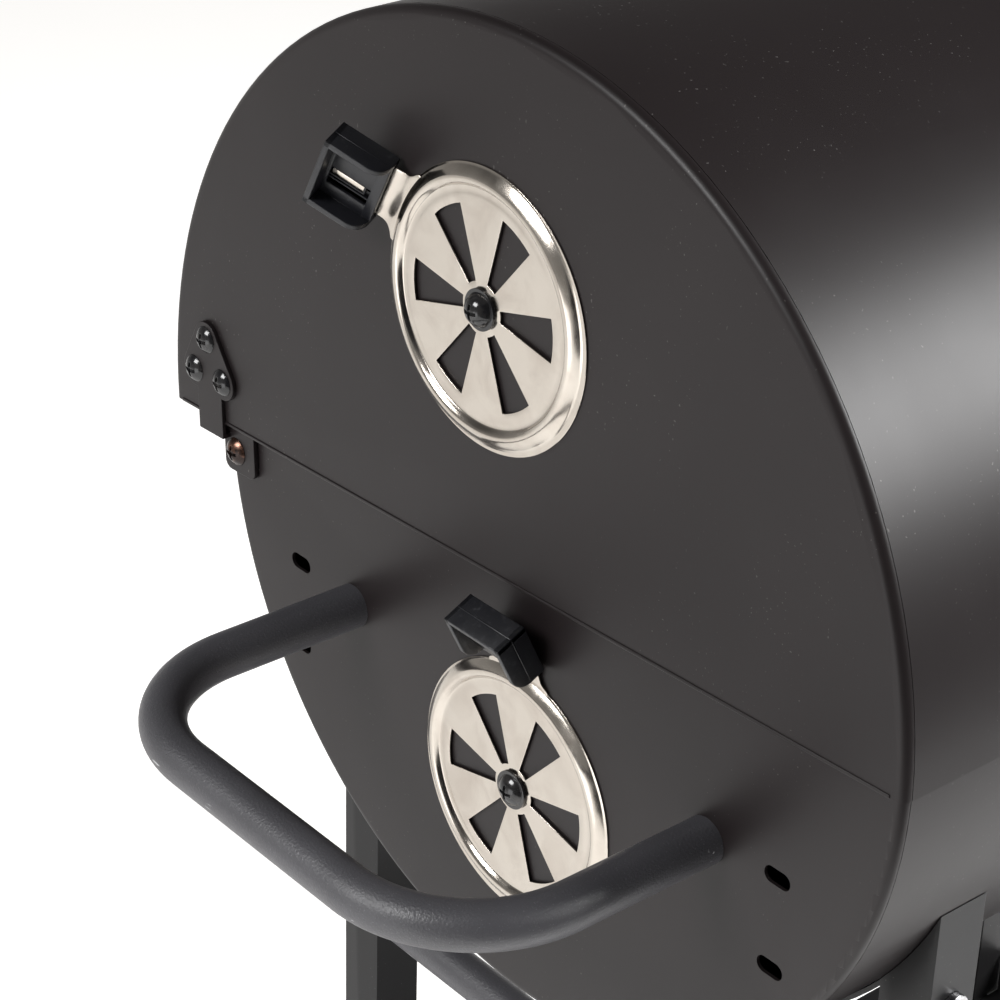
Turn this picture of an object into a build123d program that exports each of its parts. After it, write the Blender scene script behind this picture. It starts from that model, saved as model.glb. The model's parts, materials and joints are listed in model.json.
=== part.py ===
from build123d import *
from math import cos, radians, sin, sqrt
import os

# Offset smoker: a barrel cooking chamber with a hinged lid, and a lower firebox drum at its right end.
# Design frame: X along the barrel (left end negative), Y towards the back, Z up, ground at z = 0.
# The last step centres the whole object on its bounding box in X and Y.

# ------------------------------------------------------------------ driving dimensions, millimetres
# cooking chamber
LENGTH = 590.0          # lid, outer face to outer face
AXIS_Z = 760.0          # lid and body axes above the ground
LID_R = 214.0           # lid, outer radius; the lid axis is at y = 0
BODY_R = 195.5          # body, outer radius
BODY_Y = -14.3          # body axis, forward of the lid axis
BODY_INSET = 4.7        # body end faces stand this far inside the lid's
SHEET = 1.5             # thickness of shells and end plates
SEAM_TILT = -2.3        # turn of the seam plane about X: the front edge is higher
SKIRT = 4.0             # the lid hangs this far below the seam plane
LEDGE_Y = 187.0         # inner edge of the lid's rear ledge
# pressed end plates
CORNER = 4.0            # outer corner radius
FLANGE = 4.2            # depth of the flange
LIP = 8.0               # joggled lip under the wrapper
LIP_GAP = 0.1           # between lip and wrapper
SEAM_GAP = 0.3          # between flange edge and wrapper edge

# dampers
DAMPER_R = 55.4         # over the rolled rim
RIM_W = 5.2             # width of the rolled rim
RIM_H = 3.0             # its height
DISC_T = 1.0            # disc sheet
DISC_GAP = 0.5          # disc back to plate face
WEDGE_IN = 10.8         # inner radius of an opening
WEDGE_OUT = 39.8        # outer radius of an opening
WEDGE_ANGLE = 25.0
WEDGES = 6
TAB_W = 25.0
TAB_T = 1.2
TAB_BEND_R = 58.0       # radius at which the tab bends outwards
TAB_BEND = 26.0         # degrees outwards
TAB_LEN = 26.0          # sloping part
KNOB_W = 32.0           # across the tab
KNOB_L = 24.0           # along the tab
KNOB_H = 13.0
KNOB_WALL = 2.5
KNOB_START = 5.0        # from the bend to the knob
UPPER_VENT = (2.6, 104.7)       # in the seam frame, from the lid axis
LOWER_VENT_Z = -97.3            # below the body axis
UPPER_TAB_ANGLE = 30.0          # tab directions, from +Y towards +Z
LOWER_TAB_ANGLE = 90.0

# hinge arms, in the seam frame
PIVOT = (172.0, -16.1)
LEAF_SCREWS = ((185.2, 32.5), (194.5, 16.4), (174.5, 16.2))
LEAF_EDGE = 8.0
LEAF_T = 2.0
NECK = (175.6, 193.0)           # y range of the neck
NECK_FOOT = -10.6
TAB_PLANE = 2.2                 # x of the pivot tab's outer face
PIVOT_TAB = (159.0, 180.5, -26.0, 3.0)
PIN_R = 3.0
RUNNING = 0.05                  # radial clearance of a turning fit

# lid handle
GRIP_R = 12.0
GRIP_LEN = 240.0
POST_R = 6.0
POST_LEN = 38.0         # lid face to the grip's centre line
POST_INSET = 14.0       # post centre from the grip's end
HANDLE_ANGLE = 148.0    # place on the lid's arc, degrees from +Y

# lid thermometer
GAUGE_ANGLE = 124.0     # place on the lid's arc, degrees from +Y
GAUGE_R = 38.0
GAUGE_DEPTH = 14.0
STEM_R = 3.0
STEM_LEN = 46.0
NEEDLE_COLD = -135.0    # needle at rest, degrees clockwise from the dial's top

# bolt slots of the end plates, for the firebox at either end
SLOT_Y = 142.7          # half spacing
SLOT_Z = -79.2          # pattern centre below the axis
SLOT_DZ = 19.9          # half spacing
SLOT_R = 3.5
SLOT_LEN = 13.0

# end handle
TUBE_R = 9.5
TUBE_WALL = 1.5
HANDLE_HALF = 106.0
HANDLE_REACH = 121.0    # from the body end face to the tube's centre line
HANDLE_BEND = 56.0
HANDLE_Z = -63.0

# legs: folded angle
LEG_W = 24.5
LEG_T = 1.8
LEG_INSET = 51.4        # from the lid's outer face
LEG_FRONT_Y = -195.0
LEG_REAR_Y = 134.4
LEG_CLEAR = 0.3         # to the barrel
CROSS_BAR_Z = -277.0    # below the axis
SADDLE_T = 2.0
SADDLE_W = 20.0
SADDLE_TAB = 66.0
SADDLE_BOLTS = (-70.0, -110.0)  # places on the body's arc, degrees from +Y
FOOT_H = 26.0
FOOT_WALL = 2.5
SHELF_Z = 212.0
SHELF_T = 1.2
SHELF_UP = 30.0
SHELF_REAR = 157.0

# wheels
WHEEL_R = 80.0
WHEEL_W = 34.0
AXLE_R = 5.0
TYRE = 14.0
SPOKES = 6

# firebox
FIRE_R = 166.0
FIRE_LEN = 330.0
FIRE_Z = -100.0         # its axis below the chamber's
FIRE_GAP = 12.0         # lid end face to firebox face
DUCT_R = 66.0
DUCT_Z = -112.0         # duct centre below the chamber axis
FIRE_LID_R = 170.0
FIRE_LID_FROM = 38.0    # degrees, rear edge of the opening, from +Y
FIRE_LID_TO = 158.0     # front edge
FIRE_OVERLAP = 3.0      # degrees the lid reaches past the opening
FIRE_VENT_Z = -70.0     # intake damper below the firebox axis
FIRE_HINGE_R = 3.0

# inside the chamber
GRATE_Z = -24.0         # centre of the bearer rods below the axis
ROD_R = 2.2
BEARER_R = 3.0
GRATE_GAP = 12.0        # rod pitch
PAN = (430.0, 220.0, 28.0)      # length, width, height of the charcoal pan
PAN_Z = -150.0
BOLT_R = 3.0
WELD = 0.3              # gap left for the weld between a rail and the wall it follows

LEFT = -LENGTH / 2
RIGHT = LENGTH / 2
BODY_LEFT = LEFT + BODY_INSET
SEAM = Pos(0, 0, AXIS_Z) * Rot(SEAM_TILT, 0, 0)
BODY = Pos(0, BODY_Y, AXIS_Z)
FIRE_X0 = RIGHT + FIRE_GAP
FIRE_X1 = FIRE_X0 + FIRE_LEN
FIRE = Pos(0, BODY_Y, AXIS_Z + FIRE_Z)
BIG = 2000.0

parts = {}


# ------------------------------------------------------------------ small helpers
def x_rod(radius, x0, x1, y=0.0, z=0.0):
    """Round bar along X."""
    return Pos((x0 + x1) / 2, y, z) * Rot(0, 90, 0) * Cylinder(radius, abs(x1 - x0))


def y_rod(radius, y0, y1, x=0.0, z=0.0):
    """Round bar along Y."""
    return Pos(x, (y0 + y1) / 2, z) * Rot(90, 0, 0) * Cylinder(radius, abs(y1 - y0))


def z_rod(radius, z0, z1, x=0.0, y=0.0):
    """Round bar along Z."""
    return Pos(x, y, (z0 + z1) / 2) * Cylinder(radius, abs(z1 - z0))


def block(x, y, z):
    """Box from three (low, high) pairs."""
    size = [high - low for low, high in (x, y, z)]
    middle = [(high + low) / 2 for low, high in (x, y, z)]
    return Pos(*middle) * Box(*size)


def plate(sketch, x0, thickness):
    """Sheet in the YZ plane from x0 towards +X."""
    return Pos(x0, 0, 0) * extrude(Plane.YZ * sketch, amount=thickness)


def ring(outer, inner, x0, x1):
    """Round wall along X about the local axis."""
    return x_rod(outer, x0, x1) - x_rod(inner, x0 - 1, x1 + 1)


def mirrored(part):
    """The right-hand copy of a left-hand piece."""
    return mirror(part, about=Plane.YZ)


def group(solids):
    """Separate identical solids kept in one node."""
    return Compound([solid for item in solids for solid in item.solids()])


def seam_half(above, level=0.0):
    """Everything above, or below, a level in the seam frame."""
    side = 1 if above else -1
    return SEAM * Pos(0, 0, level + side * BIG / 2) * Box(BIG, BIG, BIG)


# ------------------------------------------------------------------ fasteners, heads towards -X at x = 0
def domed_screw(radius, length, head_r, head_h):
    """Cross-recess screw with a domed head; the shank runs to x = length."""
    dome_r = (head_r ** 2 + head_h ** 2) / (2 * head_h)
    head = x_rod(head_r, -head_h, 0) & Pos(dome_r - head_h, 0, 0) * Sphere(dome_r)
    recess = block((-head_h - 1, -head_h + 1.6), (-3.2, 3.2), (-0.7, 0.7))
    recess += block((-head_h - 1, -head_h + 1.6), (-0.7, 0.7), (-3.2, 3.2))
    return head - recess + x_rod(radius, -0.2, length)


def hex_nut(radius, x0, thickness=5.0, across=10.0):
    """Nut along X with a plain bore that clears its screw."""
    return plate(RegularPolygon(across / sqrt(3), 6) - Circle(radius), x0, thickness)


# ------------------------------------------------------------------ end plates and shells
def end_dish(radius):
    """Round pressed end plate: face at x = 0, flange and joggled lip towards +X."""
    lip = radius - SHEET - LIP_GAP
    k = sqrt(0.5)
    lines = Curve() + [
        Line((0, 0), (0, radius - CORNER)),
        ThreePointArc((0, radius - CORNER),
                      (CORNER * (1 - k), radius - CORNER * (1 - k)),
                      (CORNER, radius)),
        Polyline((CORNER, radius), (FLANGE, radius), (FLANGE, lip), (FLANGE + LIP, lip),
                 (FLANGE + LIP, lip - SHEET), (SHEET, lip - SHEET), (SHEET, 0), (0, 0)),
    ]
    return revolve(make_face(lines), Axis.X)


def wedges(turn=0.0):
    """The six tapered openings of a damper, about its own centre."""
    half = radians(WEDGE_ANGLE / 2)
    reach = 2 * WEDGE_OUT
    corner = (reach * cos(half), reach * sin(half))
    sector = make_face(Polyline((0, 0), corner, (corner[0], -corner[1]), (0, 0)))
    opening = (Circle(WEDGE_OUT) - Circle(WEDGE_IN)) & sector
    return Sketch() + [Rot(0, 0, turn + 360 / WEDGES * i) * opening for i in range(WEDGES)]


def vent_cut(y, z):
    """Cutter for a damper seat: openings half a pitch away from the closed disc's, and the screw hole."""
    sketch = wedges(180 / WEDGES) + Circle(BOLT_R + 0.2)
    return plate(Pos(y, z) * sketch, -1, SHEET + 2)


def slot_points():
    """Centres of the four bolt slots, from the body axis."""
    return [(y, SLOT_Z + dz) for y in (-SLOT_Y, SLOT_Y) for dz in (-SLOT_DZ, SLOT_DZ)]


def slot_cut():
    """Cutter for the four slots; they run along Y."""
    slot = SlotOverall(SLOT_LEN, 2 * SLOT_R)
    return plate(Sketch() + [Pos(y, z) * slot for y, z in slot_points()], -1, SHEET + 2)


def lid_end(vented):
    """Lid end plate at the left, in the design frame."""
    dish = end_dish(LID_R) & block((-1, 50), (-BIG, BIG), (-SKIRT, BIG))
    for y, z in LEAF_SCREWS:
        dish -= x_rod(2.7, -1, 5, y, z)
    if vented:
        dish -= vent_cut(*UPPER_VENT)
    return Pos(LEFT, 0, 0) * SEAM * dish


def body_end(left):
    """Body end plate at the left; the right one has the duct opening in place of vent and handle."""
    dish = end_dish(BODY_R) - slot_cut()
    if left:
        dish -= vent_cut(0, LOWER_VENT_Z)
        for side in (-1, 1):
            dish -= x_rod(BOLT_R + 0.2, -1, 5, side * HANDLE_HALF, HANDLE_Z)
    else:
        dish -= x_rod(DUCT_R, -1, 5, 0, DUCT_Z)
    dish = Pos(BODY_LEFT, 0, 0) * BODY * dish
    dish &= seam_half(False)
    return dish - Pos(LEFT, 0, 0) * SEAM * x_rod(PIN_R + 0.2, 0, 20, *PIVOT)


def lid_shell():
    """Lid wrapper with its rear ledge."""
    edge = FLANGE + SEAM_GAP
    wrap = ring(LID_R, LID_R - SHEET, LEFT + edge, RIGHT - edge)
    wrap &= block((-BIG, BIG), (-BIG, BIG), (-SKIRT, BIG))
    end = FLANGE + LIP + 1
    ledge = block((LEFT + end, RIGHT - end), (LEDGE_Y, LID_R - SHEET / 2), (-SKIRT, SHEET - SKIRT))
    shell = wrap + ledge
    for x, z in handle_points():
        shell -= handle_tilt(x, z, y_rod(BOLT_R + 0.2, -10, 10))
    shell -= gauge_place(y_rod(STEM_R + 0.3, -10, 10))
    return SEAM * shell


def body_shell():
    """Body wrapper."""
    edge = BODY_INSET + FLANGE + SEAM_GAP
    wrap = BODY * ring(BODY_R, BODY_R - SHEET, LEFT + edge, RIGHT - edge)
    wrap &= seam_half(False)
    for x in saddle_x():
        for angle in SADDLE_BOLTS:
            wrap -= saddle_place(x, angle, z_rod(BOLT_R + 0.2, -10, 10))
    return wrap


# ------------------------------------------------------------------ lid handle and thermometer
def handle_points():
    """Post centres: x and the arc angle."""
    return [(side * (GRIP_LEN / 2 - POST_INSET), HANDLE_ANGLE) for side in (-1, 1)]


def radial(x, angle, radius, part):
    """Place a part so that its -Y points outwards at an angle of the lid's arc."""
    return Pos(x, radius * cos(radians(angle)), radius * sin(radians(angle))) * Rot(angle - 180, 0, 0) * part


def handle_tilt(x, angle, part):
    """Place a handle part on the lid's face."""
    return radial(x, angle, LID_R, part)


def gauge_place(part):
    """Place a thermometer part on the lid's face."""
    return radial(0, GAUGE_ANGLE, LID_R, part)


def lid_handle_parts():
    """Grip, and the posts with the screws that hold them from inside."""
    centre = LID_R + POST_LEN
    grip = fillet(x_rod(GRIP_R, -GRIP_LEN / 2, GRIP_LEN / 2).edges(), 4)
    grip = radial(0, HANDLE_ANGLE, centre, grip)
    posts = []
    for x, angle in handle_points():
        post = y_rod(POST_R, -POST_LEN + 9, -0.4) + y_rod(POST_R + 4, -3.4, -0.4)
        post -= y_rod(BOLT_R, -20, 0)
        screw = y_rod(BOLT_R, -19, SHEET + 0.6) + y_rod(6, SHEET + 0.3, SHEET + 4)
        posts += [radial(x, angle, LID_R, post), radial(x, angle, LID_R, screw)]
        grip -= radial(x, angle, LID_R, y_rod(POST_R, -POST_LEN + 6, 0))
    parts["lid_handle_grip"] = SEAM * grip
    parts["lid_handle_posts"] = group([SEAM * post for post in posts])


def gauge_parts():
    """Lid thermometer: cased dial, glass, needle, stem and the nut inside the lid."""
    base = -0.6
    case = y_rod(GAUGE_R, -GAUGE_DEPTH, base) - y_rod(GAUGE_R - 2.5, -GAUGE_DEPTH - 1, -4)
    case = case + y_rod(STEM_R + 4, base - 1, base)
    stem = y_rod(STEM_R, -3.0, STEM_LEN)
    case -= y_rod(STEM_R, -10, 10)
    face = y_rod(GAUGE_R - 2.8, -5.2, -4) - y_rod(1.2, -10, 0)
    glass = y_rod(GAUGE_R - 2.6, -GAUGE_DEPTH + 1.0, -GAUGE_DEPTH + 3.0)
    needle = block((-1.0, 1.0), (-7.6, -6.8), (-8, 27)) + y_rod(3, -8.0, -6.4)
    needle = Rot(0, NEEDLE_COLD, 0) * (needle + y_rod(1.1, -6.5, -4.6))
    nut = y_rod(9, SHEET + 0.2, SHEET + 5.2) - y_rod(STEM_R, 0, 10)
    named = {"gauge_case": case, "gauge_face": face, "gauge_glass": glass, "gauge_needle": needle}
    for name, part in named.items():
        parts[name] = SEAM * gauge_place(part)
    parts["gauge_stem"] = group([SEAM * gauge_place(part) for part in (stem, nut)])


# ------------------------------------------------------------------ dampers
def damper_disc(tab_angle):
    """Turning disc about its own centre, plate face at x = 0."""
    back = -DISC_GAP
    disc = plate(Circle(DAMPER_R - 1) - wedges() - Circle(BOLT_R + RUNNING), back - DISC_T, DISC_T)
    rim = x_rod(DAMPER_R, back - RIM_H, back) - x_rod(DAMPER_R - RIM_W, -10, 10)
    outer = rim.edges().filter_by(GeomType.CIRCLE).group_by(Axis.X)[0]
    disc += fillet(outer, RIM_H * 0.7)
    angle = radians(TAB_BEND)
    run = (TAB_LEN * sin(angle), TAB_LEN * cos(angle))
    shift = (TAB_T * cos(angle), TAB_T * sin(angle))
    top = back - TAB_T
    profile = make_face(Polyline(
        (back, DAMPER_R - 3), (back, TAB_BEND_R),
        (back - run[0], TAB_BEND_R + run[1]),
        (back - run[0] - shift[0], TAB_BEND_R + run[1] - shift[1]),
        (top, TAB_BEND_R - TAB_T * sin(angle / 2)), (top, DAMPER_R - 3), (back, DAMPER_R - 3)))
    strap = extrude(profile, amount=TAB_W / 2, both=True)
    return Rot(tab_angle, 0, 0) * strap + disc


def damper_knob(tab_angle):
    """Moulded tray clipped on the tab: base, outer end wall, two side walls and a slot window."""
    skin = 1.6
    base = block((-skin - TAB_T - 0.05, skin), (0, KNOB_L), (-KNOB_W / 2, KNOB_W / 2))
    half = TAB_W / 2 + 0.1
    base -= block((-TAB_T - 0.05, 0.05), (-1, TAB_LEN - KNOB_START + 0.1), (-half, half))
    base -= block((-10, -TAB_T / 2), (6, 17), (-2.2, 2.2))
    walls = block((-KNOB_H, skin), (KNOB_L - KNOB_WALL, KNOB_L + 1.5), (-KNOB_W / 2, KNOB_W / 2))
    side = make_face(Polyline((skin, 0), (skin, KNOB_L), (-KNOB_H, KNOB_L), (-KNOB_H, 6),
                              (-KNOB_H + 4, 1.2), (-KNOB_H + 8, 0), (skin, 0)))
    for z in (-KNOB_W / 2, KNOB_W / 2 - KNOB_WALL):
        walls += Pos(0, 0, z) * extrude(side, amount=KNOB_WALL)
    tray = Rot(0, 0, TAB_BEND) * Pos(0, KNOB_START, 0) * (base + walls)
    return Rot(tab_angle, 0, 0) * Pos(-DISC_GAP, TAB_BEND_R, 0) * tray


def damper_set(name, place, tab_angle, head_h):
    """Disc, knob, and the pivot screw with its washer and the nut behind the plate."""
    face = -DISC_GAP - DISC_T - 0.1
    washer = plate(Circle(8.2) - Circle(BOLT_R), face - 1.2, 1.2)
    screw = Pos(face - 1.2, 0, 0) * domed_screw(BOLT_R, 14, 6.8, head_h)
    nut = hex_nut(BOLT_R, SHEET + 0.1)
    parts[name + "_damper_disc"] = place * damper_disc(tab_angle)
    parts[name + "_damper_knob"] = place * damper_knob(tab_angle)
    parts[name + "_damper_screw"] = group([place * part for part in (screw, washer, nut)])


def damper_parts():
    """Lid damper, chamber damper and the firebox's intake damper."""
    damper_set("upper", Pos(LEFT, 0, 0) * SEAM * Pos(0, *UPPER_VENT), UPPER_TAB_ANGLE, 5.0)
    damper_set("lower", Pos(BODY_LEFT, 0, 0) * BODY * Pos(0, 0, LOWER_VENT_Z), LOWER_TAB_ANGLE, 3.6)
    intake = Pos(FIRE_X1, 0, 0) * FIRE * Pos(0, 0, FIRE_VENT_Z) * Rot(0, 0, 180)
    damper_set("intake", intake, LOWER_TAB_ANGLE, 3.6)


# ------------------------------------------------------------------ lid hinges
def hinge_arm():
    """Bent hinge arm at the left, in the seam frame with x = 0 on the lid's face."""
    corners = Sketch() + [Pos(y, z) * Circle(LEAF_EDGE) for y, z in LEAF_SCREWS]
    leaf = make_hull(corners.edges())
    neck = Pos((NECK[0] + NECK[1]) / 2, (NECK_FOOT + 12) / 2) * Rectangle(NECK[1] - NECK[0], 12 - NECK_FOOT)
    holes = Sketch() + [Pos(y, z) * Circle(2.7) for y, z in LEAF_SCREWS]
    arm = plate(leaf + neck - holes, -LEAF_T, LEAF_T)
    arm += block((-LEAF_T, TAB_PLANE + LEAF_T), NECK, (NECK_FOOT, NECK_FOOT + LEAF_T))
    y0, y1, z0, z1 = PIVOT_TAB
    tab = block((TAB_PLANE, TAB_PLANE + LEAF_T), (y0, y1), (z0, z1))
    tab = fillet(tab.edges().filter_by(Axis.X).group_by(Axis.Z)[0], 4)
    return arm + tab - x_rod(PIN_R + RUNNING, 0, 10, *PIVOT)


def hinge_parts():
    """Both hinge arms with their leaf screws and pivot screws."""
    left = Pos(LEFT, 0, 0) * SEAM
    arm = left * hinge_arm()
    screws = []
    nuts = []
    for y, z in LEAF_SCREWS:
        screws.append(left * Pos(-LEAF_T, y, z) * domed_screw(2.5, 10, 6.2, 3.2))
        nuts.append(left * Pos(0, y, z) * hex_nut(2.5, SHEET + 0.1, 4, 8))
    pivot = left * Pos(TAB_PLANE - 0.1, *PIVOT) * domed_screw(PIN_R, 12, 6.4, 3.4)
    lock = left * Pos(0, *PIVOT) * hex_nut(PIN_R, BODY_INSET + SHEET + 0.2, 5, 9)
    parts["hinge_arm_left"] = arm
    parts["hinge_arm_right"] = mirrored(arm)
    leaf_set = screws + nuts
    parts["hinge_leaf_screws"] = group(leaf_set + [mirrored(part) for part in leaf_set])
    pivot_set = [pivot, lock]
    parts["hinge_pivot_screws"] = group(pivot_set + [mirrored(part) for part in pivot_set])


# ------------------------------------------------------------------ end handle
def end_handle_parts():
    """Bent tube handle with closed ends, and the bolts that hold it from inside."""
    x0 = BODY_LEFT
    x1 = BODY_LEFT - HANDLE_REACH
    y = HANDLE_HALF
    path = FilletPolyline((x0, y, 0), (x1, y, 0), (x1, -y, 0), (x0, -y, 0), radius=HANDLE_BEND)
    section = Plane(origin=(x0, y, 0), z_dir=(-1, 0, 0)) * (Circle(TUBE_R) - Circle(TUBE_R - TUBE_WALL))
    tube = sweep(section, path=path)
    for side in (-1, 1):
        plug = x_rod(TUBE_R - TUBE_WALL / 2, x0 - 14, x0 - 2, side * y)
        tube += plug - x_rod(BOLT_R, x0 - 20, x0, side * y)
    place = Pos(0, BODY_Y, AXIS_Z + HANDLE_Z)
    parts["end_handle"] = place * tube
    bolts = []
    for side in (-1, 1):
        bolt = x_rod(BOLT_R, x0 - 13, x0 + SHEET + 0.4, side * y)
        bolt += x_rod(6, x0 + SHEET + 0.2, x0 + SHEET + 4, side * y)
        bolts.append(place * bolt)
    parts["end_handle_bolts"] = group(bolts)


# ------------------------------------------------------------------ legs, saddles, cross bars, shelf
def saddle_x():
    """Middle of each saddle band along X."""
    middle = LEFT + LEG_INSET + LEG_T + 0.2 + SADDLE_W / 2
    return (middle, -middle)


def saddle_place(x, angle, part):
    """Place a part on the underside of the body, its -Z outwards."""
    r = BODY_R
    return BODY * Pos(x, r * cos(radians(angle)), r * sin(radians(angle))) * Rot(angle + 90, 0, 0) * part


def leg(y, foot_z):
    """Left leg: folded angle with its corner at the low x and low y side, cut to the barrel."""
    x = LEFT + LEG_INSET
    top = AXIS_Z - 40
    post = block((x, x + LEG_W), (y, y + LEG_T), (foot_z, top))
    post += block((x, x + LEG_T), (y, y + LEG_W), (foot_z, top))
    post -= BODY * x_rod(BODY_R + LEG_CLEAR, x - 10, x + 100)
    solids = sorted(post.solids(), key=lambda solid: solid.bounding_box().min.Z)
    return Part() + solids[0]


def saddle():
    """Left cradle band under the barrel; its ends turn down against the legs."""
    x = saddle_x()[0]
    x0, x1 = x - SADDLE_W / 2, x + SADDLE_W / 2
    inner = BODY_R + LEG_CLEAR
    front = LEG_FRONT_Y + LEG_T
    rear = LEG_REAR_Y
    band = BODY * ring(inner + SADDLE_T, inner, x0, x1)
    band &= block((-BIG, BIG), (front, rear), (0, AXIS_Z - 60))
    for inner_y, y in ((front, (front, front + SADDLE_T)), (rear, (rear - SADDLE_T, rear))):
        top = saddle_tab_z(inner_y)
        band += block((x0, x1), y, (top - SADDLE_TAB, top))
    band -= BODY * x_rod(inner, x0 - 1, x1 + 1)
    for angle in SADDLE_BOLTS:
        band -= saddle_place(x, angle, z_rod(BOLT_R + 0.2, -10, 10))
    for y, z in leg_bolt_points():
        band -= y_rod(BOLT_R + 0.2, y - 10, y + 10, x, z)
    return band


def saddle_tab_z(y):
    """Height at which the band's outer face reaches a leg."""
    r = BODY_R + LEG_CLEAR + SADDLE_T
    return AXIS_Z - sqrt(r * r - (y - BODY_Y) ** 2) + 1


def leg_bolt_points():
    """Two bolts per leg, y of the leg's face and z."""
    points = []
    for y, face in ((LEG_FRONT_Y, LEG_FRONT_Y + LEG_T), (LEG_REAR_Y, LEG_REAR_Y)):
        top = saddle_tab_z(face)
        points += [(y, top - SADDLE_TAB + 10), (y, top - SADDLE_TAB + 28)]
    return points


def leg_parts():
    """Legs, saddles, their bolts, and the cross bars between front and rear legs."""
    x = saddle_x()[0]
    left = {"leg_front_left": leg(LEG_FRONT_Y, 4.0), "leg_rear_left": leg(LEG_REAR_Y, 4.0)}
    short = WHEEL_R - 16
    right = {"leg_front_right": leg(LEG_FRONT_Y, short), "leg_rear_right": leg(LEG_REAR_Y, short)}
    bolts = []
    for y, z in leg_bolt_points():
        for name in left:
            if (y < 0) == ("front" in name):
                hole = y_rod(BOLT_R + 0.2, y - 10, y + 10, x, z)
                left[name] -= hole
                right[name.replace("left", "right")] -= hole
        bolts.append(leg_bolt(x, y, z))
    bar_x = x
    bar_z = AXIS_Z + CROSS_BAR_Z
    for name in left:
        parts[name] = left[name]
    for name in right:
        part = right[name] - y_rod(AXLE_R + 0.2, -BIG, BIG, bar_x, WHEEL_R)
        parts[name] = mirrored(part)
    band = saddle()
    parts["saddles"] = group([band, mirrored(band)])
    pins = bolts + [mirrored(bolt) for bolt in bolts]
    for place_x in saddle_x():
        for angle in SADDLE_BOLTS:
            pin = z_rod(BOLT_R, -8, SHEET + 0.6) + z_rod(5.5, SHEET + 0.3, SHEET + 4)
            pin += z_rod(5.5, -LEG_CLEAR - SADDLE_T - 4, -LEG_CLEAR - SADDLE_T - 0.1)
            pins.append(saddle_place(place_x, angle, pin))
    parts["frame_bolts"] = group(pins)
    bar = y_rod(TUBE_R, LEG_FRONT_Y + LEG_T, LEG_REAR_Y, bar_x, bar_z)
    bar -= y_rod(TUBE_R - TUBE_WALL, LEG_FRONT_Y + 8, LEG_REAR_Y - 6, bar_x, bar_z)
    parts["cross_bars"] = group([bar, mirrored(bar)])


def leg_bolt(x, y, z):
    """Bolt along Y through a leg and its saddle tab; y is the leg flange's front face."""
    front = y < 0
    outer = y - 3.2 if front else y + LEG_T + 3.2
    near = y if front else y + LEG_T
    far = y + LEG_T + SADDLE_T if front else y - SADDLE_T
    step = 1 if front else -1
    head = y_rod(6, outer, near - step * 0.05, x, z)
    shank = y_rod(BOLT_R, near - step * 0.2, far + step * 6, x, z)
    nut = y_rod(5.5, far + step * 0.1, far + step * 5, x, z)
    return head + shank + nut


def foot_parts():
    """Plastic caps on the left feet; the leg stands in the cap."""
    x = LEFT + LEG_INSET
    caps = []
    for y in (LEG_FRONT_Y, LEG_REAR_Y):
        w = FOOT_WALL
        cap = block((x - w, x + LEG_W + w), (y - w, y + LEG_W + w), (0, FOOT_H))
        cap = fillet(cap.edges().filter_by(Axis.Z), 2)
        room = block((x - 0.1, x + LEG_W + 0.1), (y - 0.1, y + LEG_W + 0.1), (4, FOOT_H + 1))
        fill = block((x + LEG_T + 1, x + LEG_W - 1), (y + LEG_T + 1, y + LEG_W - 1), (3, FOOT_H - 2))
        caps.append(cap - room + fill)
    parts["foot_caps"] = group(caps)


def shelf_parts():
    """Bottom tray between the legs, slit round the rear legs, with its front screws and rear pegs."""
    x1 = RIGHT - LEG_INSET - LEG_T - 0.4
    y0 = LEG_FRONT_Y + LEG_T + 0.4
    tray = block((-x1, x1), (y0, SHELF_REAR), (SHELF_Z, SHELF_Z + SHELF_UP))
    t = SHELF_T
    tray -= block((t - x1, x1 - t), (y0 + t, SHELF_REAR - t), (SHELF_Z + t, SHELF_Z + SHELF_UP + 1))
    reach = LEG_INSET + LEG_W + 0.4
    for x in ((-BIG, LEFT + reach), (RIGHT - reach, BIG)):
        tray -= block(x, (LEG_REAR_Y - 0.4, LEG_REAR_Y + LEG_T + 0.4), (0, BIG))
    z = SHELF_Z + 14
    screws = []
    for x in saddle_x():
        hole = y_rod(BOLT_R + 0.2, y0 - 5, y0 + 5, x, z)
        tray -= hole
        for name in ("leg_front_left", "leg_front_right"):
            parts[name] -= hole
        screw = y_rod(6, LEG_FRONT_Y - 3, LEG_FRONT_Y - 0.05, x, z)
        screw += y_rod(BOLT_R, LEG_FRONT_Y - 1, y0 + 8, x, z)
        screw += y_rod(5.5, y0 + t + 0.1, y0 + t + 5, x, z)
        screws.append(screw)
        peg_z = SHELF_Z - 0.1 - BOLT_R
        screws.append(y_rod(BOLT_R, LEG_REAR_Y - 10, LEG_REAR_Y + LEG_T + 8, x, peg_z))
        for name in ("leg_rear_left", "leg_rear_right"):
            parts[name] -= y_rod(BOLT_R + 0.05, LEG_REAR_Y - 5, LEG_REAR_Y + 5, x, peg_z)
    parts["bottom_shelf"] = tray
    parts["shelf_screws"] = group(screws)


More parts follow.
